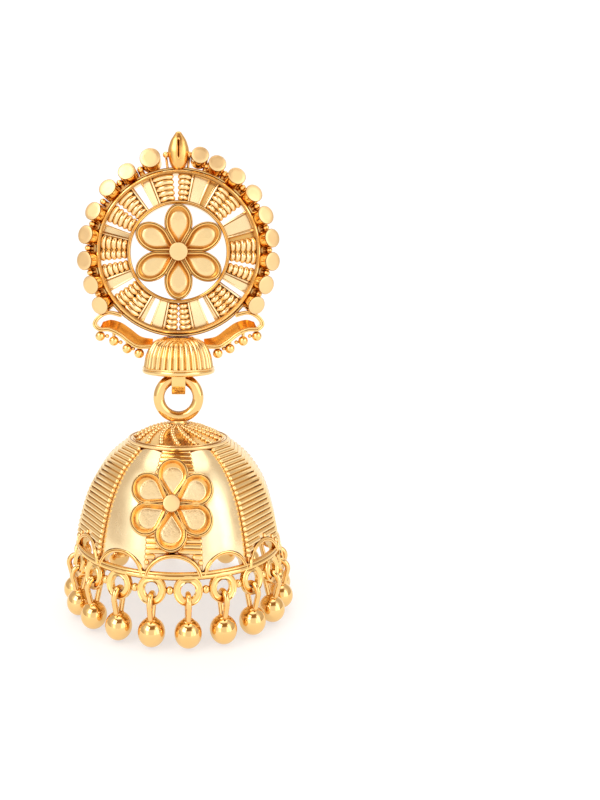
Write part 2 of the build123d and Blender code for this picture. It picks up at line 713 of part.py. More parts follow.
def build_nodes():
    """Every piece of the earring by its node's name."""
    outer = bell_solid()
    right_wing = wing()
    nodes = {
        "ear_post": ear_post(),
        "stud_frame": stud_frame(),
        "stud_flower": stud_flower(),
        "wing_right": right_wing,
        "wing_left": mirror(right_wing, about=Plane.YZ),
        "ribbed_cap": ribbed_cap(),
        "bail_strap": bail_strap(),
        "hanging_ring": hanging_ring(),
        "filigree_top": filigree_top(),
        "dome_shell": dome_shell(outer),
        "dome_flower_front": dome_flower(outer, FLOWER_TURN),
        "dome_flower_back": dome_flower(outer, HALF_TURN + FLOWER_TURN),
        "rim_band": rim_band(),
    }
    for index in range(EYELET_COUNT):
        nodes[f"bead_drop_{index + 1:02d}"] = bead_drop(index)
    return nodes


os.makedirs("parts", exist_ok=True)
for name, solid in build_nodes().items():
    export_step(solid, f"parts/{name}.step")
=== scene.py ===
import json
import math

import bmesh
import bpy
import numpy as np
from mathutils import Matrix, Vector


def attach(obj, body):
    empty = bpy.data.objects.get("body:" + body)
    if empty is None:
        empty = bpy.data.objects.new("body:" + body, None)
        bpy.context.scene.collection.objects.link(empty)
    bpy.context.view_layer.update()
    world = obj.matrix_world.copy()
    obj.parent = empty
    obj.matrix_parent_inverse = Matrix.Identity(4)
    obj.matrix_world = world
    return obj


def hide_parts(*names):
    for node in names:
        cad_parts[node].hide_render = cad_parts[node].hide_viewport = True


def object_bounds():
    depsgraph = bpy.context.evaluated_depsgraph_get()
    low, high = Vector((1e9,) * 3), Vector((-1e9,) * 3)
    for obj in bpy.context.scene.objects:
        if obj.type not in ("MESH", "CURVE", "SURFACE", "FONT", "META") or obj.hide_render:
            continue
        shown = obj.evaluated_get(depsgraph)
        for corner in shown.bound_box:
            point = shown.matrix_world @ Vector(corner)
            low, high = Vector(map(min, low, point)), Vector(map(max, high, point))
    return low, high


# The looks of a gold-plated jhumka earring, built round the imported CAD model.
# Shapes are worked out in millimetres in the model's own frame and turned into metres at the end.
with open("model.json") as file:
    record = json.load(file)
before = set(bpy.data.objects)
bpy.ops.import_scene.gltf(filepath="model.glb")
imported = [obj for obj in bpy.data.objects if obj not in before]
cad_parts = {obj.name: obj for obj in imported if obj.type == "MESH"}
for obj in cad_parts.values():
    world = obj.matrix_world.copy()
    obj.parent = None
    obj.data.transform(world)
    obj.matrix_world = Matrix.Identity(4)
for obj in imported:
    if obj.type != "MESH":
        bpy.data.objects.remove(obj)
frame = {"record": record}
cad_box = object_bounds()

MM = 0.001
TAU = 2 * math.pi
HINGE = [value / MM for value in frame["record"]["behaviour"]["joints"][0]["pos_m"]]
AXIS_Y = HINGE[1]
HINGE_Z = HINGE[2]


# ---------------------------------------------------------------- mesh tools


class Piece:
    """Collects closed shells of points and faces, in millimetres, and makes one mesh object of them.

    A shell's slot is the place of its material in the list that object() is given.
    """

    def __init__(self, place=None):
        self.verts = []
        self.faces = []
        self.slots = []
        self.count = 0
        self.place = place or (lambda points: points)

    def add(self, points, faces, slot=0):
        points = self.place(np.asarray(points, float))
        self.verts.append(points)
        self.faces += [[self.count + i for i in face] for face in faces]
        self.slots += [slot] * len(faces)
        self.count += len(points)

    def grid(self, points, wrap_rows=False, wrap_cols=False, cap_start=False, cap_end=False, slot=0):
        """Quads over rows and columns of points; a cap closes the first or the last row with a fan."""
        points = np.asarray(points, float)
        rows, cols = points.shape[:2]
        faces = []
        for r in range(rows if wrap_rows else rows - 1):
            below, above = r * cols, (r + 1) % rows * cols
            for c in range(cols if wrap_cols else cols - 1):
                after = (c + 1) % cols
                faces.append((below + c, below + after, above + after, above + c))
        flat = list(points.reshape(-1, 3))
        for wanted, start in ((cap_start, 0), (cap_end, (rows - 1) * cols)):
            if wanted:
                flat.append(np.mean(flat[start:start + cols], axis=0))
                middle = len(flat) - 1
                faces += [(start + c, start + (c + 1) % cols, middle) for c in range(cols)]
        self.add(flat, faces, slot)

    def object(self, name, materials, sharp_deg=40.0):
        mesh = bpy.data.meshes.new(name)
        mesh.from_pydata((np.vstack(self.verts) * MM).tolist(), [], self.faces)
        for material in materials:
            mesh.materials.append(material)
        mesh.polygons.foreach_set("material_index", self.slots)
        work = bmesh.new()
        work.from_mesh(mesh)
        bmesh.ops.remove_doubles(work, verts=work.verts, dist=1e-8)
        bmesh.ops.recalc_face_normals(work, faces=work.faces)
        work.to_mesh(mesh)
        work.free()
        mesh.polygons.foreach_set("use_smooth", [True] * len(mesh.polygons))
        mesh.set_sharp_from_angle(angle=math.radians(sharp_deg))
        piece = bpy.data.objects.new(name, mesh)
        bpy.context.scene.collection.objects.link(piece)
        return piece


# points between two given ones, before smooth_line spaces them evenly
CURVE_STEPS = 24


def unit(v):
    v = np.asarray(v, float)
    return v / np.maximum(np.linalg.norm(v, axis=-1, keepdims=True), 1e-12)


def even_angles(count):
    return np.arange(count) / count * TAU


def circle(radius, sides):
    angles = even_angles(sides)
    return np.stack([radius * np.cos(angles), radius * np.sin(angles)], axis=1)


def rounded(points, radius, steps=4, closed=True):
    """A flat outline with each corner replaced by an arc-like curve of that radius."""
    points = [np.asarray(p, float) for p in points]
    result = []
    for i, corner in enumerate(points):
        if not closed and i in (0, len(points) - 1):
            result.append(corner)
            continue
        before, after = points[i - 1], points[(i + 1) % len(points)]
        # two curves on one short side don't meet
        reach = min([radius] + [np.linalg.norm(beside - corner) * 0.45 for beside in (before, after)])
        start = corner + unit(before - corner) * reach
        end = corner + unit(after - corner) * reach
        for step in range(steps + 1):
            t = step / steps
            result.append((1 - t) ** 2 * start + 2 * t * (1 - t) * corner + t ** 2 * end)
    return np.array(result)


def smooth_line(points, count):
    """Even points along a Catmull-Rom curve through the given ones."""
    points = np.asarray(points, float)
    padded = np.vstack([2 * points[0] - points[1], points, 2 * points[-1] - points[-2]])
    fine = []
    t = np.linspace(0, 1, CURVE_STEPS, endpoint=False)[:, None]
    for i in range(len(padded) - 3):
        a, b, c, d = padded[i:i + 4]
        fine.append(0.5 * (2 * b + (c - a) * t + (2 * a - 5 * b + 4 * c - d) * t ** 2
                           + (3 * b - a - 3 * c + d) * t ** 3))
    fine = np.vstack(fine + [padded[-2][None]])
    lengths = np.concatenate([[0], np.cumsum(np.linalg.norm(np.diff(fine, axis=0), axis=1))])
    wanted = np.linspace(0, lengths[-1], count)
    return np.stack([np.interp(wanted, lengths, fine[:, k]) for k in range(points.shape[1])], axis=1)


def tube_rings(path, section, normal=None, closed=False, scale=None):
    """Rings of a section swept along a path; normal is the direction of the section's first axis."""
    path = np.asarray(path, float)
    if closed:
        tangents = unit(np.roll(path, -1, axis=0) - np.roll(path, 1, axis=0))
    else:
        tangents = unit(np.gradient(path, axis=0))
    rings = []
    side = None
    for i, (point, tangent) in enumerate(zip(path, tangents)):
        if normal is not None:
            hint = np.asarray(normal[i] if np.ndim(normal) > 1 else normal, float)
        elif side is None:
            hint = np.array([0.0, 0, 1]) if abs(tangent[2]) < 0.9 else np.array([1.0, 0, 0])
        else:
            hint = side
        side = unit(hint - tangent * np.dot(hint, tangent))
        other = np.cross(tangent, side)
        factor = 1.0 if scale is None else scale[i]
        rings.append(point + factor * (section[:, :1] * side + section[:, 1:] * other))
    return np.array(rings)


# how far out each ring of a wire's round end lies, and how large it is, as shares of the radius
ROUND_END = ((0.985, 0.17), (0.8, 0.6), (0.45, 0.89))


def tube(piece, path, radius, sides=12, normal=None, slot=0):
    """Round wire along an open path, with rounded ends."""
    path = np.asarray(path, float)
    first = unit(path[0] - path[1]) * radius
    last = unit(path[-1] - path[-2]) * radius
    path = np.vstack([
        [path[0] + first * out for out, _ in ROUND_END], path,
        [path[-1] + last * out for out, _ in ROUND_END[::-1]],
    ])
    sizes = [size for _, size in ROUND_END]
    scale = sizes + [1.0] * (len(path) - 2 * len(sizes)) + sizes[::-1]
    rod(piece, tube_rings(path, circle(radius, sides), normal, scale=scale), slot)


def rod(piece, rings, slot=0):
    """Solid through rings of points, closed by a fan at both ends."""
    piece.grid(rings, wrap_cols=True, cap_start=True, cap_end=True, slot=slot)


def ball(piece, centre, radius, segments, rings):
    centre = np.asarray(centre, float)
    rows = []
    for i in range(1, rings):
        polar = math.pi * i / rings
        flat = circle(radius * math.sin(polar), segments)
        rows.append([centre + (x, y, radius * math.cos(polar)) for x, y in flat])
    points = np.array(rows)
    faces = []
    for r in range(rings - 2):
        for c in range(segments):
            after = (c + 1) % segments
            faces.append((r * segments + c, r * segments + after, (r + 1) * segments + after,
                          (r + 1) * segments + c))
    flat = list(points.reshape(-1, 3)) + [centre + (0, 0, radius), centre - (0, 0, radius)]
    top, bottom = len(flat) - 2, len(flat) - 1
    last = (rings - 2) * segments
    faces += [(top, (c + 1) % segments, c) for c in range(segments)]
    faces += [(bottom, last + c, last + (c + 1) % segments) for c in range(segments)]
    piece.add(flat, faces)


def spun(radius, height, angles):
    """Points at radii and heights round the z axis: a row for each height, a column for each angle."""
    return np.stack(np.broadcast_arrays(radius * np.cos(angles), radius * np.sin(angles), height), axis=-1)


def lathe(piece, profile, segments, centre=(0, 0, 0), slot=0, wave=None):
    """Closed profile of (radius, height) turned round the z axis; wave changes the radius by angle."""
    radius, height = np.asarray(profile, float).T[..., None]
    angles = even_angles(segments)
    if wave is not None:
        radius = wave(radius, height, angles)
    piece.grid(spun(radius, height, angles) + np.array(centre), wrap_rows=True, wrap_cols=True, slot=slot)


def solid_lathe(piece, profile, segments, slot=0):
    """Profile from one end of the z axis to the other, closed by fans at both ends."""
    radius, height = np.asarray(profile, float).T[..., None]
    rod(piece, spun(radius, height, even_angles(segments)), slot)


def shade_line(piece, radius, height, segments, slot, thick=0.06, **place):
    """Fine dark line round the z axis, painted shade along an edge or in a groove."""
    lathe(piece, circle(thick, 8) + (radius, height), segments, slot=slot, **place)


def turned(points, degrees):
    """Points turned about the z axis, counterclockwise."""
    a = math.radians(degrees)
    x, y, z = np.moveaxis(np.asarray(points, float), -1, 0)
    return np.stack([x * math.cos(a) - y * math.sin(a), x * math.sin(a) + y * math.cos(a), z], axis=-1)


def to_front(points):
    """From the stud's flat drawing, x right, y up, z to the front, to the model's frame."""
    x, y, z = np.moveaxis(np.asarray(points, float), -1, 0)
    return np.stack([x, -z, y], axis=-1)


def to_axis(points):
    """From the frame of what hangs to the model's frame."""
    return np.asarray(points, float) + (0, AXIS_Y, 0)


# ---------------------------------------------------------------- materials

GOLD = (0.98, 0.67, 0.27)
GOLD_DEEP = (0.95, 0.59, 0.19)
PALE = (1.0, 0.76, 0.43)
# brown painted into the gold as shade where other metal lies close
RECESS_SHADE = (0.5, 0.2, 0.035)


def add_node(tree, kind, **inputs):
    node = tree.nodes.new(kind)
    for name, value in inputs.items():
        node.inputs[name.replace("_", " ")].default_value = value
    return node


def rise(tree, value, span, start=0.0, end=1.0):
    """Even ramp from start to end as the value goes through the span."""
    step = add_node(tree, "ShaderNodeMapRange", From_Min=span[0], From_Max=span[1], To_Min=start, To_Max=end)
    tree.links.new(value, step.inputs["Value"])
    return step.outputs["Result"]


def mixed(tree, factor, first, second):
    """Colour from the first to the second with the factor; each is three numbers or a node's output."""
    mix = tree.nodes.new("ShaderNodeMix")
    mix.data_type = "RGBA"
    tree.links.new(factor, mix.inputs["Factor"])
    for name, colour in (("A", first), ("B", second)):
        if isinstance(colour, bpy.types.NodeSocket):
            tree.links.new(colour, mix.inputs[name])
        else:
            mix.inputs[name].default_value = (*colour, 1)
    return mix.outputs["Result"]


def gold(name, colour=GOLD, deep=GOLD_DEEP, recess_shade=RECESS_SHADE, reach=0.5, closed=0.22, open_=0.8,
         roughness=0.08, grain=0.0, grain_scale=900.0):
    """Gold plate with painted shade: darker and browner where other metal lies closer than reach, in
    millimetres.

    It has the painted shade colour where the free share of its surroundings is under closed, its own over
    open_.
    """
    material = bpy.data.materials.new(name)
    material.use_nodes = True
    tree = material.node_tree
    link = tree.links.new
    shader = tree.nodes["Principled BSDF"]
    shader.inputs["Metallic"].default_value = 1.0
    coords = tree.nodes.new("ShaderNodeTexCoord").outputs["Object"]

    def noise(scale, detail):
        node = add_node(tree, "ShaderNodeTexNoise", Scale=scale, Detail=detail)
        link(coords, node.inputs["Vector"])
        return node.outputs["Fac"]

    tone = mixed(tree, rise(tree, noise(260.0, 3.0), (0.35, 0.75), 0.0, 0.4), colour, deep)
    # painted shade: ambient occlusion mixes the recess shade colour into the gold
    shade = add_node(tree, "ShaderNodeAmbientOcclusion", Distance=reach * MM)
    shade.samples = 8
    free = rise(tree, shade.outputs["AO"], (closed, open_))
    link(mixed(tree, free, recess_shade, tone), shader.inputs["Base Color"])
    fine = noise(grain_scale, 4.0)
    rough = rise(tree, fine, (0.3, 0.7), roughness * 0.85, roughness * 1.2)
    link(rough, shader.inputs["Roughness"])
    bump = add_node(tree, "ShaderNodeBump", Strength=0.03 + grain, Distance=(0.002 + 0.1 * grain) * MM)
    link(fine, bump.inputs["Height"])
    link(bump.outputs["Normal"], shader.inputs["Normal"])
    return material


polished = gold("polished_gold")
smooth_gold = gold("mirror_gold", colour=(0.93, 0.61, 0.25), deep=(0.88, 0.54, 0.18), roughness=0.06)
# long reach: painted shade on the strap's upper part, under the cap's mouth
strap_gold = gold("strap_gold", reach=3.0, closed=0.3, open_=0.75, roughness=0.14)
satin = gold("satin_gold", colour=(0.94, 0.66, 0.33), deep=(0.92, 0.62, 0.28), roughness=0.4, reach=0.1)
plate_gold = gold("plate_gold", colour=PALE, deep=(1.0, 0.72, 0.35), recess_shade=(0.6, 0.3, 0.08), roughness=0.25)
# wide reach: painted shade on the petals' floors near their walls and the hub
petal_gold = gold("petal_gold", colour=(0.95, 0.69, 0.35), deep=(0.86, 0.57, 0.24), recess_shade=(0.45, 0.2, 0.05),
                  roughness=0.22, reach=1.2, closed=0.3, open_=0.6)
bar_gold = gold("bar_gold", colour=PALE, reach=0.3, closed=0.15, open_=0.6, roughness=0.2)
# deeper, browner gold; on the petals' walls and in the blind slots it is painted shade
wall_gold = gold("wall_gold", colour=(0.86, 0.5, 0.16), deep=(0.78, 0.41, 0.11), recess_shade=(0.4, 0.17, 0.035),
                 roughness=0.22)
# dark brown for the lines of painted shade along edges and in grooves, and for painted shade on the cap's
# crown
shade_gold = gold("shade_gold", colour=(0.42, 0.2, 0.05), deep=(0.36, 0.16, 0.035), roughness=0.3)
bell_gold = gold("bell_gold", colour=(1.0, 0.8, 0.48), deep=(1.0, 0.76, 0.41), roughness=0.24)
rib_gold = gold("rib_gold", colour=(1.0, 0.72, 0.34), deep=(1.0, 0.66, 0.26), recess_shade=(0.72, 0.38, 0.1),
                closed=0.1, open_=0.65, reach=0.4, roughness=0.17)
cap_gold = gold("cap_gold", colour=(0.96, 0.67, 0.3), deep=(0.93, 0.6, 0.23), recess_shade=(0.4, 0.17, 0.03),
                closed=0.15, open_=0.7, reach=0.4, roughness=0.15)
wire_gold = gold("wire_gold", colour=(0.95, 0.67, 0.32), reach=0.4, closed=0.15, open_=0.65, roughness=0.16)
# darker gold on the cone under the filigree wires: painted shade in the gaps between them
cone_gold = gold("cone_gold", colour=(0.9, 0.6, 0.25), deep=(0.85, 0.52, 0.18), recess_shade=(0.4, 0.18, 0.04),
                 closed=0.2, open_=0.8, roughness=0.22)
grainy = gold("grainy_gold", colour=PALE, recess_shade=(0.6, 0.33, 0.1), roughness=0.22, grain=0.4,
              grain_scale=2600.0, reach=0.6, closed=0.1, open_=0.5)
post_gold = gold("post_gold", roughness=0.2)

# ---------------------------------------------------------------- stud

# material slots of the frame; the flowers share the satin slot and the slot of painted shade lines
PLATE, SATIN, BAR, SHADE_LINE_SLOT, WALL = 1, 2, 3, 4, 5

RING_INNER = 9.7
HUB_RING_OUTER = 6.35
OUTER_RING = (
    # radius, height
    (9.7, 0.25), (9.75, 0.2), (10.5, 0.2), (10.55, 0.25), (10.55, 1.5), (10.52, 1.62), (10.44, 1.7),
    (10.34, 1.7), (10.27, 1.62), (10.22, 1.5), (10.17, 1.62), (10.16, 2.2), (10.12, 2.38), (10.03, 2.47),
    (9.95, 2.5), (9.9, 2.46), (9.87, 2.36), (9.83, 2.36), (9.79, 2.4), (9.74, 2.38), (9.7, 2.28),
    (9.7, 1.3),
)
# radius, height of each line of painted shade round the outer ring
OUTER_SHADE_LINES = ((10.5, 1.64), (10.19, 1.66), (9.73, 2.36))
INNER_RING = (
    # radius, height
    (5.98, 0.25), (6.03, 0.2), (6.3, 0.2), (6.35, 0.25), (6.35, 2.12), (6.33, 2.24), (6.27, 2.33),
    (6.2, 2.32), (6.17, 2.27), (6.13, 2.32), (6.07, 2.4), (6.01, 2.36), (5.98, 2.25), (5.98, 1.2),
)
# radius, height of each line of painted shade round the inner ring
INNER_SHADE_LINES = ((6.32, 2.22), (6.0, 2.32))
# thickness of the stud's lines of painted shade
STUD_SHADE_LINE = 0.07

FAN_BACK = 0.8
PLATE_OVERLAP = 0.05
RIBBED_FRONT = 1.3
SLOT_FRONT = 1.34
HIGH_FRONT = 1.66
LONE_FRONT = (1.52, 1.38)
LEAST_WEDGE = 0.5
WEDGE_LINE_ENDS = (6.4, 9.65)
# each plain wedge's side has a fine wire and, further in, a line of painted shade
WEDGE_LINES = (
    # degrees in from the wedge's side, lift, radius, sides, material slot
    (0.9, 0.02, 0.11, 8, BAR), (2.2, 0.01, 0.045, 6, SHADE_LINE_SLOT),
)
BAR_COUNT = 5
BAR_RADIUS = 0.335
BAR_HEIGHT = 1.45
BAR_ARCH = 0.28
BAR_BOW = 0.1
BAR_END = 0.08
BAR_END_OVER_SLOT = 0.16
BLIND_SLOTS = ((24.0, 28.5), (74.5, 79.5))
BLIND_OVERLAP = 0.3
BLIND_FRONT = (0.9, 1.0)
BLIND_BACK = (0.8, 0.85)

SLOTS = (
    # from_deg, to_deg, clockwise from the top
    (-158.5, -153.5), (-124.5, -120.0), (-100.0, -96.0), (-69.0, -66.0), (-53.5, -50.5),
    (-35.5, -29.0), (-4.6, 0.4), (53.0, 58.3), (99.0, 103.0),
    (121.8, 126.2), (152.0, 157.0), (178.8, 181.2),
)
RIBBED = (
    # from_deg, to_deg, clockwise from the top
    (-178.8, -170.0), (-148.0, -135.0), (-135.0, -124.5), (-110.0, -100.0), (-96.0, -88.0),
    (-88.0, -77.0), (-66.0, -53.5), (-50.5, -37.5), (-20.0, -4.6), (0.4, 10.0), (31.5, 42.0),
    (42.0, 53.0), (79.5, 90.0), (90.0, 99.0), (103.0, 113.0), (128.0, 137.5), (137.5, 147.0),
    (170.0, 178.8),
)
FLAT_STUDS = (
    # angle_deg, centre_radius, face_radius, splay_deg
    (-124.5, 11.8, 1.12, 28.0), (-110.9, 11.6, 1.15, 32.0), (-95.5, 11.7, 1.18, 34.0),
    (-79.6, 11.7, 1.16, 34.0), (-64.6, 11.7, 1.16, 32.0), (-48.1, 11.8, 1.14, 28.0),
    (-32.9, 11.8, 1.12, 22.0), (-16.9, 12.1, 1.28, 15.0), (12.7, 12.2, 1.1, 14.0),
    (23.8, 11.9, 1.1, 18.0), (37.7, 11.8, 1.14, 24.0), (52.3, 11.8, 1.14, 29.0),
    (67.3, 11.7, 1.16, 32.0), (81.8, 11.7, 1.16, 34.0), (96.0, 11.7, 1.16, 34.0),
    (110.9, 11.6, 1.16, 32.0), (124.6, 11.7, 1.14, 28.0),
)
STUD_LENGTH = 2.0
STUD_FACE_HEIGHT = 2.7
GRANULE_RADIUS = 0.4
GRANULE_CIRCLE = 11.3
GRANULE_HEIGHT = 1.6
GRANULE_STEM = 0.4
STEM_START = 10.3
STEM_HEIGHT = 0.9
PEG_RADIUS = 0.28
PEG_LOW, PEG_HIGH = 0.35, 1.5
# the studs on both sides of the crest have a granule each beside the crest, not one between them
CREST_NEIGHBOURS = (-16.9, 12.7)
CREST_GRANULES = ((-7.4, 12.2), (6.4, 12.2))
CREST_STEM = 0.16
CREST_SECTIONS = (
    # height, half width, half depth
    (10.2, 0.5, 0.6), (10.5, 0.78, 0.8), (10.9, 1.02, 0.98), (11.5, 1.2, 1.08), (12.2, 1.33, 1.15),
    (12.8, 1.3, 1.08), (13.4, 1.14, 0.94), (14.0, 0.92, 0.76), (14.6, 0.54, 0.5), (14.9, 0.34, 0.33),
    (15.0, 0.2, 0.2),
)
CREST_MIDDLE = 1.5
CREST_FLATNESS = 0.85
CREASE_SPAN = (11.5, 14.1)
CREASE_FADES = (0.3, 0.4)
CREASE_DEPTH = 0.3
CREASE_WIDTH = 0.06


def clock(radius, degrees, height):
    """Point of the stud's drawing at an angle clockwise from the top."""
    a = np.radians(degrees)
    return np.stack(np.broadcast_arrays(radius * np.sin(a), radius * np.cos(a), height), axis=-1)


def stud_ring(piece, profile, segments, shade_lines):
    """One of the stud's two rings, with the lines of painted shade round it."""
    lathe(piece, profile, segments)
    for radius, height in shade_lines:
        shade_line(piece, radius, height, 160, SHADE_LINE_SLOT, STUD_SHADE_LINE)


def fan_spans():
    """Stretches of plate between slots: each is its list of (from, to, ribbed) wedges."""
    edges = sorted(SLOTS + BLIND_SLOTS)
    spans = []
    for left, right in zip(edges, edges[1:] + [(edges[0][0] + 360, 0)]):
        low, high = left[1], right[0]
        if left[1] > 180:
            low -= 360
            high -= 360
        ribbed = sorted(w for w in RIBBED if w[0] >= low - 0.01 and w[1] <= high + 0.01)
        wedges, at = [], low
        for a, b in ribbed:
            if a - at > LEAST_WEDGE:
                wedges.append((at, a, False))
            wedges.append((a, b, True))
            at = b
        if high - at > LEAST_WEDGE:
            wedges.append((at, high, False))
        spans.append(wedges)
    return spans


def plate_between(piece, angles, front_heights, back_heights, rows, slot):
    """Plate from ring to ring across some angles, with the heights of its front and back at each."""
    radii = np.linspace(HUB_RING_OUTER - PLATE_OVERLAP, RING_INNER + PLATE_OVERLAP, rows)
    front, back = (
        np.stack([clock(radii, a, z) for a, z in zip(angles, heights)], axis=1)
        for heights in (front_heights, back_heights)
    )
    rod(piece, np.concatenate([front, back[:, ::-1]], axis=1), slot)


def fan(piece):
    for wedges in fan_spans():
        for i, (low, high, ribbed) in enumerate(wedges):
            # a plain wedge leans down to its slot; a ribbed one lies low under its bars
            at_slot_left, at_slot_right = i == 0, i == len(wedges) - 1
            if ribbed:
                left = right = RIBBED_FRONT
            elif at_slot_left and at_slot_right:
                left, right = LONE_FRONT
            else:
                left, right = (SLOT_FRONT if at else HIGH_FRONT for at in (at_slot_left, at_slot_right))
            share = np.linspace(0, 1, 9)
            front = left + (right - left) * share
            plate_between(piece, np.linspace(low, high, 9), front, [FAN_BACK] * 9, 8, PLATE)
            if ribbed:
                bars(piece, low, high, at_slot_left, at_slot_right)
                continue
            for angle, height, inward in ((low, left, 1), (high, right, -1)):
                for inset, lift, radius, sides, slot in WEDGE_LINES:
                    ends = [clock(r, angle + inward * inset, height + lift) for r in WEDGE_LINE_ENDS]
                    tube(piece, ends, radius, sides, slot=slot)


def bars(piece, low, high, open_left, open_right):
    """Arched bars stacked across a wedge, their round ends standing out over a slot."""
    pitch = (RING_INNER - HUB_RING_OUTER) / BAR_COUNT
    middle = (low + high) / 2
    half = math.radians(high - low) / 2
    arch = 1 - np.linspace(-1, 1, 9) ** 2
    for index in range(BAR_COUNT):
        radius = HUB_RING_OUTER + pitch * (index + 0.5)
        reach = radius * math.tan(half)
        left = -reach - (BAR_END_OVER_SLOT if open_left else BAR_END)
        right = reach + (BAR_END_OVER_SLOT if open_right else BAR_END)
        across = np.linspace(left + BAR_RADIUS, right - BAR_RADIUS, 9)
        path = np.stack([across, radius + BAR_BOW * arch, BAR_HEIGHT + BAR_ARCH * arch], axis=1)
        tube(piece, turned(path, -middle), BAR_RADIUS, slot=BAR)


def blind_slots(piece):
    """Two slots are backed by a leaning wall whose deeper gold is painted shade, so they look dark and not
    open.
    """
    for low, high in BLIND_SLOTS:
        angles = (low - BLIND_OVERLAP, high + BLIND_OVERLAP)
        plate_between(piece, angles, BLIND_FRONT, BLIND_BACK, 4, WALL)


def flat_stud(piece, angle, centre_radius, face_radius, splay):
    """Cylinder with a satin face, a line of painted shade round its edge, leaning outwards by its splay."""
    profile = [
        (face_radius * 0.55, 0.0), (face_radius - 0.07, 0.0), (face_radius - 0.05, -0.01),
        (face_radius, -0.06), (face_radius, -0.12), (face_radius, -STUD_LENGTH + 0.1),
        (face_radius - 0.1, -STUD_LENGTH),
    ]
    rows = []
    tilt = math.radians(splay)
    for radius, height in profile:
        x, y = circle(radius, 40).T
        z = np.full(40, height)
        rows.append(np.stack([
            x, centre_radius + y * math.cos(tilt) + z * math.sin(tilt),
            STUD_FACE_HEIGHT - y * math.sin(tilt) + z * math.cos(tilt),
        ], axis=1))
    rows = turned(np.array(rows), -angle)
    piece.grid(rows[:3], wrap_cols=True, cap_start=True, slot=SATIN)
    piece.grid(rows[2:5], wrap_cols=True, slot=SHADE_LINE_SLOT)
    piece.grid(rows[4:], wrap_cols=True, cap_end=True)


def granule(piece, angle, radius=GRANULE_CIRCLE, stem=GRANULE_STEM):
    """Ball on a peg, with a stem that joins the peg to the ring."""
    ball(piece, clock(radius, angle, GRANULE_HEIGHT), GRANULE_RADIUS, 20, 12)
    tube(piece, [clock(r, angle, STEM_HEIGHT) for r in (STEM_START, radius)], stem, 16)
    tube(piece, [clock(radius, angle, height) for height in (PEG_LOW, PEG_HIGH)], PEG_RADIUS)


def crest(piece):
    """Pointed bud of two rounded halves that meet in a crease."""
    turn = even_angles(120)
    rows = []
    for height, wide, deep in smooth_line(CREST_SECTIONS, 44):
        x = wide * np.cos(turn)
        bulge = np.abs(np.sin(turn)) ** CREST_FLATNESS
        above = np.clip((height - CREASE_SPAN[0]) / CREASE_FADES[0], 0, 1)
        below = np.clip((CREASE_SPAN[1] - height) / CREASE_FADES[1], 0, 1)
        crease = CREASE_DEPTH * (above * below) * np.exp(-(x / CREASE_WIDTH) ** 2)
        z = np.sign(np.sin(turn)) * np.maximum(deep * bulge - crease, 0)
        rows.append(np.stack([x, np.full(len(x), height), CREST_MIDDLE + z], axis=1))
    rod(piece, np.array(rows), WALL)


def make_stud_frame():
    piece = Piece(to_front)
    stud_ring(piece, OUTER_RING, 200, OUTER_SHADE_LINES)
    stud_ring(piece, INNER_RING, 160, INNER_SHADE_LINES)
    fan(piece)
    blind_slots(piece)
    for row in FLAT_STUDS:
        flat_stud(piece, *row)
    angles = [row[0] for row in FLAT_STUDS]
    for left, right in zip(angles, angles[1:]):
        if (left, right) == CREST_NEIGHBOURS:
            for angle, radius in CREST_GRANULES:
                granule(piece, angle, radius, CREST_STEM)
        else:
            granule(piece, (left + right) / 2)
    crest(piece)
    return piece.object("look_stud_frame", [polished, plate_gold, satin, bar_gold, shade_gold, wall_gold])


# ---------------------------------------------------------------- flowers

# steps round a petal's oval end, and up each of its sides
OVAL_STEPS, SIDE_STEPS = 46, 12


def petal_outline(length, half_width, end_length):
    """Points round a petal from its pointed root, up one side, round the oval end and back."""
    centre = length - end_length
    lift = math.asin(min(end_length / centre, 0.999))
    a = np.linspace(-lift, math.pi + lift, OVAL_STEPS)
    arc = np.stack([half_width * np.cos(a), centre + end_length * np.sin(a)], axis=1)
    straight = np.linspace(0, 1, SIDE_STEPS, endpoint=False)[:, None]
    return np.vstack([straight * arc[0], arc, straight[:0:-1] * arc[-1]])


def petal_rings(length, half_width, end_length, profile):
    """Rings of a petal for rows of (inset, height, pull): how far in the whole outline and its end move."""
    centre = length - end_length
    side = half_width * math.sqrt(1 - (end_length / centre) ** 2)
    spread = math.atan2(side, centre - end_length ** 2 / centre)
    rings = []
    for inset, height, pull in profile:
        shift = inset / math.sin(spread)
        oval = end_length - inset - 0.7 * pull
        flat = petal_outline(length - inset - shift - pull, half_width - inset, oval)
        rings.append(np.concatenate([flat + (0, shift), np.full((len(flat), 1), height)], axis=1))
    return np.array(rings)


# length, half width, length of the oval end
STUD_PETAL = (5.94, 1.76, 2.3)
DOME_PETAL = (5.02, 1.82, 1.85)
# how far a petal's floor dips towards its root
STUD_PETAL_DIP = 0.5
DOME_PETAL_DIP = 0.15
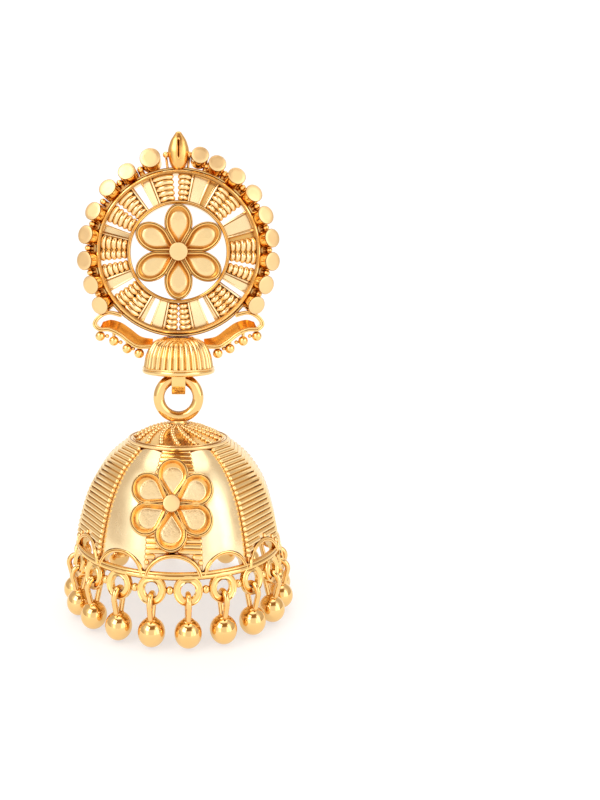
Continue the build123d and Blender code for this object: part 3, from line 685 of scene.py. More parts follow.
# radius, back, front
STUD_HUB = (1.13, 0.6, 3.05)
DOME_HUB = (0.93, -0.4, 1.15)
STUD_PETAL_PROFILE = (
    # inset, height, how far the end is pulled in
    (0.3, 0.6, 0), (0.05, 0.6, 0), (0.0, 0.66, 0), (0.0, 2.36, 0), (0.05, 2.5, 0), (0.09, 2.58, 0),
    (0.14, 2.56, 0), (0.16, 2.4, 0), (0.2, 2.4, 0), (0.22, 2.62, 0), (0.27, 2.74, 0), (0.35, 2.75, 0),
    (0.4, 2.68, 0), (0.41, 2.55, 0.0), (0.44, 2.3, 0.12), (0.46, 2.12, 0.22), (0.48, 2.1, 0.24),
    (0.58, 2.14, 0.24), (0.76, 2.2, 0.22), (1.0, 2.25, 0.2), (1.3, 2.27, 0.16),
)
DOME_PETAL_PROFILE = (
    # inset, height, how far the end is pulled in
    (0.3, -0.9, 0), (0.06, -0.9, 0), (0.0, -0.8, 0), (0.0, 0.6, 0), (0.04, 0.74, 0), (0.07, 0.83, 0),
    (0.12, 0.85, 0), (0.14, 0.72, 0), (0.17, 0.72, 0), (0.19, 0.88, 0), (0.23, 0.95, 0), (0.29, 0.95, 0),
    (0.34, 0.88, 0), (0.36, 0.74, 0), (0.54, 0.45, 0.12), (0.66, 0.3, 0.24), (0.7, 0.28, 0.24),
    (0.8, 0.29, 0.24), (0.95, 0.3, 0.24), (1.15, 0.3, 0.22), (1.3, 0.3, 0.18),
)
PETAL_FLOOR_ROW = 16
PETAL_FLOOR, PETAL_WALL = 1, 3
# rows in the dark-line slot are painted shade under the rim's lip and in the groove between its two wires
PETAL_PARTS = (
    # first row, last row, material slot
    (0, 3, 0), (3, 4, SHADE_LINE_SLOT), (4, 6, 0), (6, 9, SHADE_LINE_SLOT), (9, 12, 0), (12, 16, PETAL_WALL),
    (16, 20, PETAL_FLOOR),
)


def petals(piece, shape, profile, dip, foot=None):
    """Six petals: a double rim with lines of painted shade, a deep gold wall painted as shade and a pale
    floor that dips to the root.
    """
    rings = petal_rings(*shape, profile)
    floor = rings[PETAL_FLOOR_ROW - 1:]
    floor[..., 2] -= dip * np.clip(1 - floor[..., 1] / (0.7 * shape[0]), 0, 1)
    for index in range(6):
        turned_rings = turned(rings, -60 * index)
        if foot is not None:
            turned_rings[:3] = foot(turned_rings[:3])
        for first, last, slot in PETAL_PARTS:
            piece.grid(turned_rings[first:last + 1], wrap_cols=True, cap_start=first == 0,
                       cap_end=last == len(profile) - 1, slot=slot)


def hub(piece, radius, low, high):
    """Flat-topped cylinder in a flower's middle, with a line of painted shade round its edge."""
    inner = radius * 0.5
    profile = rounded([(inner, low), (radius, low), (radius, high), (inner, high)], 0.09, closed=False)
    solid_lathe(piece, profile, 48, SATIN)
    shade_line(piece, radius - 0.02, high - 0.06, 48, SHADE_LINE_SLOT, 0.05)


def make_stud_flower():
    piece = Piece(to_front)
    petals(piece, STUD_PETAL, STUD_PETAL_PROFILE, STUD_PETAL_DIP)
    hub(piece, *STUD_HUB)
    return piece.object("look_stud_flower", [polished, petal_gold, satin, wall_gold, shade_gold])


# ---------------------------------------------------------------- wings, cap, strap, post

WING_EDGE = (
    # x, y
    (3.2, -11.75), (5.0, -11.75), (6.15, -11.15), (7.3, -10.25), (8.6, -9.65), (9.8, -9.6),
    (10.4, -8.95), (9.8, -8.05), (8.6, -7.55), (7.0, -7.9),
)
WING_LOWER = WING_EDGE[:6]
WING_UPPER = (
    # x, y
    (3.2, -10.9), (4.7, -10.6), (6.0, -9.65), (7.2, -8.85), (8.5, -8.5), (9.5, -8.75),
)
WING_BEADS = (
    # x, y
    (9.75, -10.5), (8.05, -11.1), (6.4, -12.05), (4.9, -12.65),
)
WING_BEAD_RADIUS = 0.62
WING_BEAD_HEIGHT = 1.5
WING_STEM_RADIUS = 0.2
WING_GRAIN_RADIUS = 0.26
WING_GRAIN_HEIGHT = 1.4
# the rim stops at the cap and at the ring
WING_START_X = 3.3
WING_CLEARS = 10.6
# height of the rim's middle, and its section round that: towards the front, and across
WING_MIDDLE = 1.325
WING_SECTION = ((-0.975, -0.25), (0.82, -0.25), (0.82, 0.25), (-0.975, 0.25))
# two fine wires along the rim's front
WING_WIRE_RADIUS = 0.13
WING_WIRE_LIFT = 0.84
WING_WIRE_ASIDE = 0.12
WING_FLOOR_INSET = 0.1
WING_FLOOR = (
    # share of the way from the lower edge to the upper one, height
    (0.0, 1.75), (0.3, 1.45), (0.7, 1.0), (1.0, 0.8), (1.0, 0.62), (1.0, 0.4), (0.0, 0.4), (0.0, 1.0),
)


def make_wing(name, side):
    piece = Piece(lambda points: to_front(np.asarray(points) * (side, 1, 1)))
    line = smooth_line(WING_EDGE, 90)
    keep = [p for p in line if p[0] > WING_START_X and math.hypot(*p) > WING_CLEARS]
    path = np.array([(x, y, WING_MIDDLE) for x, y in keep])
    rod(piece, tube_rings(path, rounded(WING_SECTION, 0.1, 3), normal=(0, 0, 1)))
    tangents = unit(np.gradient(path, axis=0))
    across = np.stack([-tangents[:, 1], tangents[:, 0], np.zeros(len(path))], axis=1)
    for aside in (-WING_WIRE_ASIDE, WING_WIRE_ASIDE):
        tube(piece, path + across * aside + (0, 0, WING_WIRE_LIFT), WING_WIRE_RADIUS, 10)
    rows = []
    for low, high in zip(smooth_line(WING_LOWER, 40), smooth_line(WING_UPPER, 40)):
        inner = low + unit(high - low) * WING_FLOOR_INSET
        rows.append([(*(inner + (high - inner) * share), z) for share, z in WING_FLOOR])
    rod(piece, np.array(rows), 1)
    for x, y in WING_BEADS:
        ball(piece, (x, y, WING_BEAD_HEIGHT), WING_BEAD_RADIUS, 26, 16)
        tube(piece, [(x, y + up, WING_BEAD_HEIGHT) for up in (0.3, 0.95)], WING_STEM_RADIUS, 10)
    for a, b in zip(WING_BEADS, WING_BEADS[1:]):
        middle = (np.array(a) + b) / 2 + (0, 0.3)
        ball(piece, (*middle, WING_GRAIN_HEIGHT), WING_GRAIN_RADIUS, 14, 8)
    return piece.object(name, [polished, wall_gold])


CAP_SECTIONS = (
    # height, radius
    (-10.62, 1.9), (-10.95, 2.75), (-11.6, 3.5), (-12.9, 4.1), (-14.65, 4.4),
)
CAP_WALL = 0.75
CAP_LIP = (4.0, -14.8)
FLUTES = 32
FLUTE_DEPTH = 0.34
FLUTE_TOP = -10.75
FLUTE_FADE = 0.5
CAP_RIM_Z = -14.75
CAP_WIRES = (
    # radius, lift from the rim, half width, half height
    (4.2, 0.0, 0.34, 0.34), (4.38, 0.36, 0.14, 0.12),
)
CAP_CROWN = (
    # radius, height
    (0.5, -10.95), (1.55, -10.95), (1.55, -10.66), (0.5, -10.62),
)
CAP_GRAINS = 12
CAP_GRAIN_CIRCLE = 1.42
CAP_GRAIN_Z = -10.8
CAP_GRAIN_RADIUS = 0.17


def make_cap():
    piece = Piece(to_axis)
    outside = [(r, z) for z, r in smooth_line(CAP_SECTIONS, 40)]
    inside = [(max(r - CAP_WALL, 0.9), z - 0.15) for r, z in outside if z < CAP_CROWN[0][1]][::-2]
    profile = np.array(outside + [CAP_LIP] + inside)

    def flute(radius, height, angles):
        """Grooves in the outside that fade out towards the cap's top."""
        ridge = np.abs(np.sin(angles * FLUTES / 2)) ** 0.8
        fade = np.clip((FLUTE_TOP - height) / FLUTE_FADE, 0, 1)
        rows = np.arange(len(profile))[:, None] < len(outside)
        return radius - np.where(rows, FLUTE_DEPTH * fade * (1 - ridge), 0)

    lathe(piece, profile, FLUTES * 12, wave=flute)
    for radius, lift, wide, high in CAP_WIRES:
        lathe(piece, circle(1.0, 16) * (wide, high) + (radius, CAP_RIM_Z + lift), 128)
    # the crown under the stud is in the dark line colour: painted shade under the disc
    solid_lathe(piece, rounded(CAP_CROWN, 0.08, closed=False), 40, 1)
    for x, y in circle(CAP_GRAIN_CIRCLE, CAP_GRAINS):
        ball(piece, (x, y, CAP_GRAIN_Z), CAP_GRAIN_RADIUS, 12, 8)
    return piece.object("look_ribbed_cap", [cap_gold, shade_gold])


# inner radius of the bend, and the strap's thickness in its legs and at the bottom of the bend
STRAP_BEND = 1.0
STRAP_THICK = 0.4
STRAP_BEND_THICK = 1.05
STRAP_WIDTH = 1.72
STRAP_TOP = -11.54


def make_strap():
    piece = Piece(to_axis)
    a = np.linspace(0, math.pi, 33)
    inner = np.stack([STRAP_BEND * np.cos(a), -STRAP_BEND * np.sin(a)], axis=1)
    reach = STRAP_BEND + STRAP_THICK
    outer = np.stack([reach * np.cos(a), -(STRAP_BEND + STRAP_BEND_THICK) * np.sin(a)], axis=1)
    up = np.linspace(STRAP_TOP - HINGE_Z, 0, 10)[:-1, None]

    def with_legs(bend, aside):
        """The bend with a straight leg up from each of its ends."""
        return np.vstack([np.hstack([0 * up + aside, up]), bend, np.hstack([0 * up - aside, up])[::-1]])

    half = STRAP_WIDTH / 2
    rings = []
    for low, high in zip(with_legs(inner, STRAP_BEND), with_legs(outer, reach)):
        thick = np.linalg.norm(high - low)
        section = rounded([(-half, 0), (half, 0), (half, thick), (-half, thick)], 0.09, 3)
        flat = low + section[:, 1:] * unit(high - low)
        rings.append(np.stack([section[:, 0], flat[:, 0], HINGE_Z + flat[:, 1]], axis=1))
    rod(piece, np.array(rings))
    return piece.object("look_bail_strap", [strap_gold])


POST_PAD = (
    # radius, place along the post
    (0.4, -0.51), (1.5, -0.51), (1.5, -0.01), (0.45, -0.01),
)
POST_SHAFT = (
    # radius, place along the post: plain, a groove for the catch, a rounded tip
    (0.45, 0.1), (0.45, 8.1), (0.42, 8.2), (0.34, 8.26), (0.33, 8.3), (0.34, 8.34), (0.42, 8.4),
    (0.45, 8.5), (0.45, 10.1), (0.42, 10.25), (0.33, 10.38), (0.15, 10.48),
)


def make_post():
    piece = Piece(lambda p: np.stack([p[..., 0], p[..., 2], p[..., 1]], axis=-1))
    solid_lathe(piece, np.vstack([rounded(POST_PAD, 0.1, closed=False), POST_SHAFT]), 40)
    return piece.object("look_ear_post", [post_gold])


# ---------------------------------------------------------------- ring and collar

RING_MEAN = 2.43
RING_WIRE = 0.71
RING_CENTRE_Z = HINGE_Z - RING_MEAN
SEAT_BOTTOM = RING_CENTRE_Z - RING_MEAN - RING_WIRE - 0.06
RIM_Z = -35.58
SHELL_TOP = 12.13
COLLAR_Z = RIM_Z + SHELL_TOP + 0.04
CONE_TOP = SEAT_BOTTOM - 0.04
# the inner side of the ring's wire is filed flatter, which leaves a fine edge on both sides of it, drawn as
# a thin dark line of painted shade
RING_FILED = -0.86 * RING_WIRE
RING_EDGE_IN = 0.6
RING_EDGE_ASIDE = 0.33
SEAT = (
    # radius, height above the seat's bottom
    (0.5, 0.0), (1.28, 0.0), (1.3, 0.06), (1.28, 0.12), (1.16, 0.16), (1.14, 0.24), (1.1, 0.4),
    (0.85, 0.45), (0.4, 0.45),
)


def make_ring():
    piece = Piece(to_axis)
    x, z = circle(1.0, 96).T
    outwards = np.stack([x, 0 * x, z], axis=1)
    path = outwards * RING_MEAN + (0, 0, RING_CENTRE_Z)
    filed = [(max(p[0], RING_FILED), p[1]) for p in circle(RING_WIRE, 32)]
    wires = [(path, np.array(filed), 0)]
    for aside in (-RING_EDGE_ASIDE, RING_EDGE_ASIDE):
        wires.append((path - outwards * RING_EDGE_IN + (0, aside, 0), circle(0.06, 8), 1))
    for line, section, slot in wires:
        rings = tube_rings(line, section, normal=outwards, closed=True)
        piece.grid(rings, wrap_rows=True, wrap_cols=True, slot=slot)
    solid_lathe(piece, np.array(SEAT) + (0, SEAT_BOTTOM), 48)
    return piece.object("look_hanging_ring", [smooth_gold, shade_gold])


COLLAR_LIP = (
    # radius, height above the collar's foot
    (5.35, 0.0), (6.3, 0.0), (6.3, 0.3), (6.22, 0.35), (5.55, 0.28), (5.35, 0.28),
)
# radius, height above the collar's foot of each line of painted shade
COLLAR_SHADE_LINES = ((6.27, 0.02), (6.02, 0.33))
CONE_NECK = (
    # radius, height above the cone's top
    (0.6, -0.5), (1.35, -0.5), (1.35, -0.04), (1.3, 0.0), (0.5, 0.0),
)
CONE_CURVE = (
    # radius and drop from the cone's top, radius and height above the collar's foot, bulge between them
    (1.3, 0.1), (5.5, 0.22), 0.22,
)
WIRE_CURVE = ((1.35, 0.16), (5.45, 0.36), 0.24)
FILIGREE_WIRES = 16
WIRE_TURN = 24
WIRE_BEADS = 9
WIRE_THIN, WIRE_SWELL = 0.12, 0.18


def cone_line(curve, count):
    """Radii and heights down the collar's cone, and how far down it each of them is."""
    (top_radius, drop), (foot_radius, lift), bulge = curve
    share = np.linspace(0, 1, count)
    top = CONE_TOP - drop
    height = top + (COLLAR_Z + lift - CONE_TOP + drop) * share + bulge * np.sin(share * math.pi)
    return top_radius + (foot_radius - top_radius) * share, height, share


def make_filigree():
    piece = Piece(to_axis)
    lathe(piece, rounded(COLLAR_LIP, 0.07, 3) + (0, COLLAR_Z), 160)
    lathe(piece, circle(0.12, 10) * (1, 0.8) + (5.5, COLLAR_Z + 0.33), 160)
    for radius, lift in COLLAR_SHADE_LINES:
        shade_line(piece, radius, COLLAR_Z + lift, 160, 2)
    radius, height, _ = cone_line(CONE_CURVE, 14)
    underside = [(5.0, COLLAR_Z), (3.0, CONE_TOP - 0.95), (1.3, CONE_TOP - 0.5)]
    lathe(piece, list(zip(radius, height)) + underside, 120, slot=1)
    solid_lathe(piece, np.array(CONE_NECK) + (0, CONE_TOP), 48)
    radius, height, share = cone_line(WIRE_CURVE, 84)
    for index in range(FILIGREE_WIRES):
        a = np.radians(360 / FILIGREE_WIRES * index + WIRE_TURN * share ** 1.15)
        beads = WIRE_THIN + WIRE_SWELL * np.abs(np.cos(share * math.pi * WIRE_BEADS)) ** 0.7
        rod(piece, tube_rings(spun(radius, height, a), circle(1.0, 10), normal=(0, 0, 1), scale=beads))
    return piece.object("look_filigree_top", [wire_gold, cone_gold, shade_gold])


# ---------------------------------------------------------------- bell

DOME_TURN = -2.6
# the panels' edges in degrees, from the front one's left edge all the way round
PANEL_EDGES = np.array([-15, 15, 41.25, 72.5, 103.75, 135, 165, 195, 225, 255.5, 286, 316.5, 345])
PANEL_MIDDLES = (PANEL_EDGES[1:] + PANEL_EDGES[:-1]) / 2
PANEL_TANS = np.tan(np.radians(np.diff(PANEL_EDGES) / 2))
PANELS = len(PANEL_MIDDLES)
SMOOTH_PANELS = (1, 5, 7, 11)
FLOWER_PANELS = (0, 6)
# ribs run on from panel to panel in each of these
RIBBED_GROUPS = ((2, 3, 4), (8, 9, 10), (0,), (6,))
RIBS = 24
RIB_HALF = 0.28
SHELL_WALL = 0.9
RECESS_DEPTH = 0.3
# the walls lie this far inside the profile, so that the ribs stand on them
WALL_SINK = 0.05
# a smooth panel is a lobe: a cylinder round a line this far out from the bell's axis
LOBE_CENTRE = 4.2
LOBE_SINK = 3.9
ARCH_GAP = 0.12
RIB_INSET = 0.12
SHORTEST_RIB = 0.3
RIB_DEPTH = 0.27
RIB_SINK = 0.06
# how far out each ring of a rib's round end lies, and its size as a share of the rib's
RIB_CAP = ((0.0, 1.0), (0.12, 0.88), (0.21, 0.6), (0.25, 0.2))
RIB_CAP_OUT = 0.2
BELL_SECTIONS = (
    # height, radius
    (0.42, 12.1), (3.03, 11.7), (6.83, 10.55), (9.93, 8.6), (12.13, 6.05),
)
ARCH_OUTER = 12.35
ARCH_HALF_WIDTHS = 0.985 * ARCH_OUTER * PANEL_TANS
ARCH_HEIGHT = 2.7
ARCH_DROP = 0.4
bell_line = smooth_line(BELL_SECTIONS, 400)


def bell_radius(height):
    return np.interp(height, bell_line[:, 0], bell_line[:, 1])


def to_bell(points):
    """From the bell's own frame, +X its front and z above the rim, to the model's frame."""
    return turned(points, DOME_TURN - 90) + (0, AXIS_Y, RIM_Z)


def panel_at(angle):
    """Panel at an angle in degrees from the bell's front, and how far off its middle that is, in radians."""
    angle = (np.asarray(angle, float) - PANEL_EDGES[0]) % 360 + PANEL_EDGES[0]
    panel = np.clip(np.searchsorted(PANEL_EDGES, angle, side="right") - 1, 0, PANELS - 1)
    return panel, np.radians(angle - PANEL_MIDDLES[panel])


def shell_radius(angle, height):
    """Outer surface of the bell under its ribs, by angle in degrees from its front."""
    panel, off = panel_at(angle)
    base = bell_radius(height)
    flat = (base - WALL_SINK) / np.cos(off)
    sunk = (base - WALL_SINK - RECESS_DEPTH) / np.cos(off)
    chord = np.maximum((base - LOBE_SINK) ** 2 - (LOBE_CENTRE * np.sin(off)) ** 2, 0)
    lobe = LOBE_CENTRE * np.cos(off) + np.sqrt(chord)
    result = np.where(np.isin(panel, SMOOTH_PANELS), lobe, flat)
    return np.where(np.isin(panel, FLOWER_PANELS), sunk, result)


def arch_edge(angle):
    """Height of the arch's opening above the rim at an angle in degrees from the bell's front."""
    panel, off = panel_at(angle)
    height = np.full_like(off, 1.0)
    for _ in range(12):
        across = np.clip(bell_radius(height) * np.tan(off) / ARCH_HALF_WIDTHS[panel], -1, 1)
        height = np.maximum(-ARCH_DROP + ARCH_HEIGHT * np.sqrt(1 - across ** 2), BELL_SECTIONS[0][0])
    return height


def shell(piece):
    columns = []
    for low, high in zip(PANEL_EDGES, PANEL_EDGES[1:]):
        columns += list(np.linspace(low + 0.1, high - 0.1, 25))
    angle = np.array(columns)
    low = arch_edge(angle)
    rows = np.linspace(0, 1, 64)[:, None]
    height = low + (SHELL_TOP - low) * rows
    outer = shell_radius(angle[None, :] + 0 * height, height)
    inner = bell_radius(height) - SHELL_WALL
    outside, inside = (spun(radius, height, np.radians(angle)) for radius in (outer, inner))
    loop = np.concatenate([outside, inside[::-3], inside[:1]], axis=0)
    piece.grid(loop, wrap_rows=True, wrap_cols=True, slot=1)


def bell_slope(share):
    """Place on the bell's profile at a share of its length, and direction up it: (radius, height) both."""
    steps = np.concatenate([[0], np.cumsum(np.hypot(*np.diff(bell_line, axis=0).T))])
    at = share * steps[-1]
    below, place, above = (
        np.stack([np.interp(s, steps, bell_line[:, column]) for column in (1, 0)], axis=-1)
        for s in (at - 0.05, at, at + 0.05)
    )
    return place, unit(above - below)


def rib_point(panel, across, radius, height, offset):
    """Points of a rib's section at a place across a panel; offset is (outwards, upwards) per point."""
    a = math.radians(PANEL_MIDDLES[panel])
    out = radius + offset[:, 0]
    x = out * math.cos(a) - across * math.sin(a)
    y = out * math.sin(a) + across * math.cos(a)
    return np.stack([x, y, height + offset[:, 1]], axis=1)


def rib_run(piece, stops, radius, height, along):
    """One bar through its stops, each (panel, place across, kind): cap at its ends, mitre at a border."""
    section = circle(1.0, 10)
    outwards = np.array([along[1], -along[0]])
    offset = section[:, :1] * outwards * RIB_DEPTH + section[:, 1:] * along * RIB_HALF
    rings = []
    for i, (panel, across, kind) in enumerate(stops):
        if kind == "mitre":
            edge = (radius + offset[:, 0]) * PANEL_TANS[panel] * across
            rings.append(rib_point(panel, edge, radius, height, offset))
            continue
        sign, ends = (-1, RIB_CAP[::-1]) if i == 0 else (1, RIB_CAP)
        for out, size in ends:
            rings.append(rib_point(panel, across + sign * out, radius, height, offset * size))
    rod(piece, np.array(rings))


def ribs(piece):
    """Bars all the way up the ribbed panels, cut off where the arches' openings are."""
    for (radius, height), along in zip(*bell_slope((np.arange(RIBS) + 0.5) / RIBS)):
        lift = (height + ARCH_DROP) / (ARCH_HEIGHT + ARCH_GAP)
        for group in RIBBED_GROUPS:
            at = radius - RIB_SINK - (RECESS_DEPTH if group[0] in FLOWER_PANELS else 0)
            stops = [(group[0], RIB_INSET - at * PANEL_TANS[group[0]], "cap")]
            for panel in group:
                edge = at * PANEL_TANS[panel]
                if lift < 1:
                    gap = (ARCH_HALF_WIDTHS[panel] + ARCH_GAP) * math.sqrt(1 - lift ** 2)
                    if gap < edge - SHORTEST_RIB:
                        stops.append((panel, -gap - RIB_CAP_OUT, "cap"))
                        rib_run(piece, stops, at, height, along)
                        stops = [(panel, gap + RIB_CAP_OUT, "cap")]
                    else:
                        stops = None
                if panel == group[-1]:
                    if stops:
                        stops.append((panel, edge - RIB_INSET, "cap"))
                        rib_run(piece, stops, at, height, along)
                elif stops:
                    stops.append((panel, 1.0, "mitre"))


def make_dome():
    piece = Piece(to_bell)
    shell(piece)
    ribs(piece)
    return piece.object("look_dome_shell", [rib_gold, bell_gold], sharp_deg=30)


# how far up the profile the flowers sit, as a share of its length, and their turn from the panels' middles
FLOWER_SHARE = 0.505
FLOWER_TURN = -1.4
FOOT_RANGE = (-3.0, 0.5)
FOOT_SINK = 0.12


def flower_frame():
    """Place and axes of the flower on the bell's front: origin, across, up the slope, outwards."""
    (radius, height), (inwards, ahead) = bell_slope(FLOWER_SHARE)
    return np.array([
        (radius - RECESS_DEPTH, 0.0, height), (0.0, 1.0, 0.0), (inwards, 0.0, ahead), (ahead, 0.0, -inwards),
    ])


def make_dome_flower(name, turn):
    origin, across, up, out = flower_frame()

    def on_bell(points, heights):
        return origin + points[..., :1] * across + points[..., 1:2] * up + heights * out

    def place(points):
        return to_bell(turned(on_bell(points, points[..., 2:]), turn))

    def foot(rows):
        """Lower the petals' feet to just inside the bell's surface, found by halving a range of heights."""
        low, high = (np.full(rows.shape[:2], height) for height in FOOT_RANGE)
        for _ in range(24):
            middle = (low + high) / 2
            x, y, z = np.moveaxis(on_bell(rows, middle[..., None]), -1, 0)
            inside = np.hypot(x, y) < shell_radius(np.degrees(np.arctan2(y, x)) + turn, z)
            low, high = np.where(inside, middle, low), np.where(inside, high, middle)
        result = rows.copy()
        result[..., 2] = low - FOOT_SINK
        return result

    piece = Piece(place)
    petals(piece, DOME_PETAL, DOME_PETAL_PROFILE, DOME_PETAL_DIP, foot)
    hub(piece, *DOME_HUB)
    return piece.object(name, [polished, grainy, satin, wall_gold, shade_gold])


# ---------------------------------------------------------------- rim and fringe

RIM_RADIUS = 12.25
ARCH_TILT = math.radians(7.0)
EYELETS = 20
EYELET_PHASE = 4.7
EYELET_MEAN = 1.2
EYELET_WIRE = 0.41
EYELET_DROP = 1.45
EYELET_TILT = math.radians(9.0)
EYELET_REACH = EYELET_DROP + EYELET_MEAN
BEAD_CIRCLE = RIM_RADIUS + EYELET_REACH * math.sin(EYELET_TILT)
BEAD_Z = RIM_Z - 5.95
BEAD_RADIUS = 1.5
BEAD_COLLAR = (
    # radius, height above the bead's middle
    (0.25, 1.3), (0.62, 1.3), (0.66, 1.4), (0.58, 1.5), (0.3, 1.58),
)
LOOP_WIRE = 0.32
LOOP_BEND = 0.86
LOOP_PLAY = 0.05
# how far down its loop's legs go, as a share of the way to the bead's middle
LEG_SHARE = 0.72

RIM_WIRES = (
    # radius, height above the rim, half width, half height
    (12.31, -0.07, 0.31, 0.3), (12.42, 0.3, 0.15, 0.12), (12.05, 0.12, 0.2, 0.25),
)
# radius, height above the rim of each line of painted shade
RIM_SHADE_LINES = ((12.53, 0.19), (12.5, -0.3))
RIM_GRAIN_RADIUS = 0.44
ARCH_MIDDLE_RADIUS = 11.77
ARCH_SECTION = ((-0.57, -0.21), (0.57, -0.21), (0.57, 0.21), (-0.57, 0.21))
# a fine groove along the front of the arch, after the section's second corner
ARCH_GROOVE = ((0.57, -0.05), (0.5, 0.0), (0.57, 0.05))
ARCH_GROOVE_AT = 8
ARCH_INSET = 0.25
ARCH_END = 0.16
EYELET_SECTION = (
    # away from the eyelet's middle, forwards
    (-0.41, -0.2), (-0.3, -0.3), (0.3, -0.3), (0.41, -0.2), (0.41, 0.22), (0.37, 0.32), (0.3, 0.34),
    (0.25, 0.28), (0.18, 0.23), (-0.2, 0.23), (-0.27, 0.28), (-0.33, 0.33), (-0.4, 0.26),
)


def arches(piece):
    """Grooved band round each panel's opening, leaning with the bell's foot."""
    section = np.insert(rounded(ARCH_SECTION, 0.13, 3), ARCH_GROOVE_AT, ARCH_GROOVE, axis=0)
    out = ARCH_MIDDLE_RADIUS - RIM_RADIUS
    outwards = np.array([math.cos(ARCH_TILT), 0, math.sin(ARCH_TILT)])
    a = np.linspace(ARCH_END, math.pi - ARCH_END, 41)
    for middle, half_width in zip(PANEL_MIDDLES, ARCH_HALF_WIDTHS):
        x = (half_width - ARCH_INSET) * np.cos(a)
        y = -ARCH_DROP + (ARCH_HEIGHT - ARCH_INSET) * np.sin(a)
        path = np.stack([
            RIM_RADIUS + out * math.cos(ARCH_TILT) - y * math.sin(ARCH_TILT), x,
            y * math.cos(ARCH_TILT) + out * math.sin(ARCH_TILT),
        ], axis=1)
        rod(piece, to_bell(turned(tube_rings(path, section, normal=outwards), middle)))


def fringe_turn(points, index):
    """Points of the fringe's front unit, turned to where the unit with that number is."""
    return to_axis(turned(points, EYELET_PHASE + 360 / EYELETS * index))


def below_rim(across, down, out):
    """Point of the fringe's leaning drawing: across, down from the rim and out of its plane."""
    lean_y = RIM_RADIUS + down * math.sin(EYELET_TILT) + out * math.cos(EYELET_TILT)
    lean_z = RIM_Z - down * math.cos(EYELET_TILT) + out * math.sin(EYELET_TILT)
    return np.stack(np.broadcast_arrays(across, -lean_y, lean_z), axis=-1)


def make_rim():
    piece = Piece()
    axis = (0, AXIS_Y, 0)
    for radius, lift, wide, high in RIM_WIRES:
        lathe(piece, circle(1.0, 18) * (wide, high) + (radius, RIM_Z + lift), 240, axis)
    for radius, lift in RIM_SHADE_LINES:
        shade_line(piece, radius, RIM_Z + lift, 240, 1, centre=axis)
    arches(piece)
    out, forwards = np.transpose(EYELET_SECTION)
    reach = EYELET_MEAN + out
    rings = np.array([
        below_rim(reach * math.cos(a), EYELET_DROP - reach * math.sin(a), forwards) for a in even_angles(44)
    ])
    for index in range(EYELETS):
        piece.grid(fringe_turn(rings, index), wrap_rows=True, wrap_cols=True)
        spot = fringe_turn([below_rim(0, EYELET_DROP, 0)], index + 0.5)[0]
        ball(piece, spot, RIM_GRAIN_RADIUS, 18, 12)
    return piece.object("look_rim_band", [polished, shade_gold])


def loop_path():
    """Line of a bead's loop: over the eyelet's wire, with both legs going down into the bead."""
    eyelet_bottom = RIM_Z - EYELET_REACH * math.cos(EYELET_TILT) + EYELET_WIRE
    bend_z = eyelet_bottom + LOOP_PLAY + LOOP_WIRE - LOOP_BEND
    touch = math.acos(LOOP_BEND / (bend_z - BEAD_Z))
    a = np.linspace(touch - math.pi / 2, math.pi * 1.5 - touch, 29)
    y = LOOP_BEND * np.cos(a)
    z = bend_z + LOOP_BEND * np.sin(a)
    down = np.linspace(0, LEG_SHARE, 9)[1:]
    leg_y = y[0] * (1 - down)
    leg_z = z[0] + (BEAD_Z - z[0]) * down
    flat = np.concatenate([
        np.stack([leg_y[::-1], leg_z[::-1]], axis=1), np.stack([y, z], axis=1),
        np.stack([-leg_y, leg_z], axis=1),
    ])
    return np.stack([np.zeros(len(flat)), flat[:, 0], flat[:, 1]], axis=1)


def make_bead(index):
    piece = Piece(lambda points: fringe_turn(np.asarray(points) + (0, -BEAD_CIRCLE, 0), index))
    ball(piece, (0, 0, BEAD_Z), BEAD_RADIUS, 44, 28)
    solid_lathe(piece, np.array(BEAD_COLLAR) + (0, BEAD_Z), 24)
    tube(piece, loop_path(), LOOP_WIRE, 14, normal=(1, 0, 0))
    return piece.object(f"look_bead_drop_{index + 1:02d}", [smooth_gold])


# ---------------------------------------------------------------- put together

STUD = {
    "ear_post": (make_post(), "post_gold"),
    "stud_frame": (make_stud_frame(), "stud_gold"),
    "stud_flower": (make_stud_flower(), "stud_gold"),
    "wing_right": (make_wing("look_wing_right", 1), "stud_gold"),
    "wing_left": (make_wing("look_wing_left", -1), "stud_gold"),
    "ribbed_cap": (make_cap(), "stud_gold"),
    "bail_strap": (make_strap(), "stud_gold"),
}
DROP = {
    "hanging_ring": (make_ring(), "stud_gold"),
    "filigree_top": (make_filigree(), "bell_gold"),
    "dome_shell": (make_dome(), "bell_gold"),
    "dome_flower_front": (make_dome_flower("look_dome_flower_front", FLOWER_TURN), "bell_gold"),
    "dome_flower_back": (make_dome_flower("look_dome_flower_back", 180 + FLOWER_TURN), "bell_gold"),
    "rim_band": (make_rim(), "fringe_gold"),
}
for number in range(EYELETS):
    DROP[f"bead_drop_{number + 1:02d}"] = (make_bead(number), "fringe_gold")
for body, pieces in (("stud", STUD), ("drop", DROP)):
    for node, (piece, slot) in pieces.items():
        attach(piece, body)
        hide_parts(node)

# ---------------------------------------------------------------- stage, light and camera

# from here on all sizes are in metres
FLOOR_Z = cad_box[0][2] - 0.0002
FLOOR_LEFT, FLOOR_RIGHT = -0.3, 0.52
FLOOR_FRONT, FLOOR_BACK = -1.2, 0.25
WALL_BEND = 0.35
WALL_TOP = 1.6
LIGHTS = (
    # name, place, what it points at, size, power
    ("key", (-0.28, -0.3, 0.34), (0, 0, -0.015), (0.3, 0.3), 0.8),
    ("fill", (0.34, -0.22, 0.12), (0, 0, -0.02), (0.16, 0.4), 0.25),
    ("top", (0.0, 0.02, 0.45), (0, 0, -0.02), (0.5, 0.3), 0.4),
)
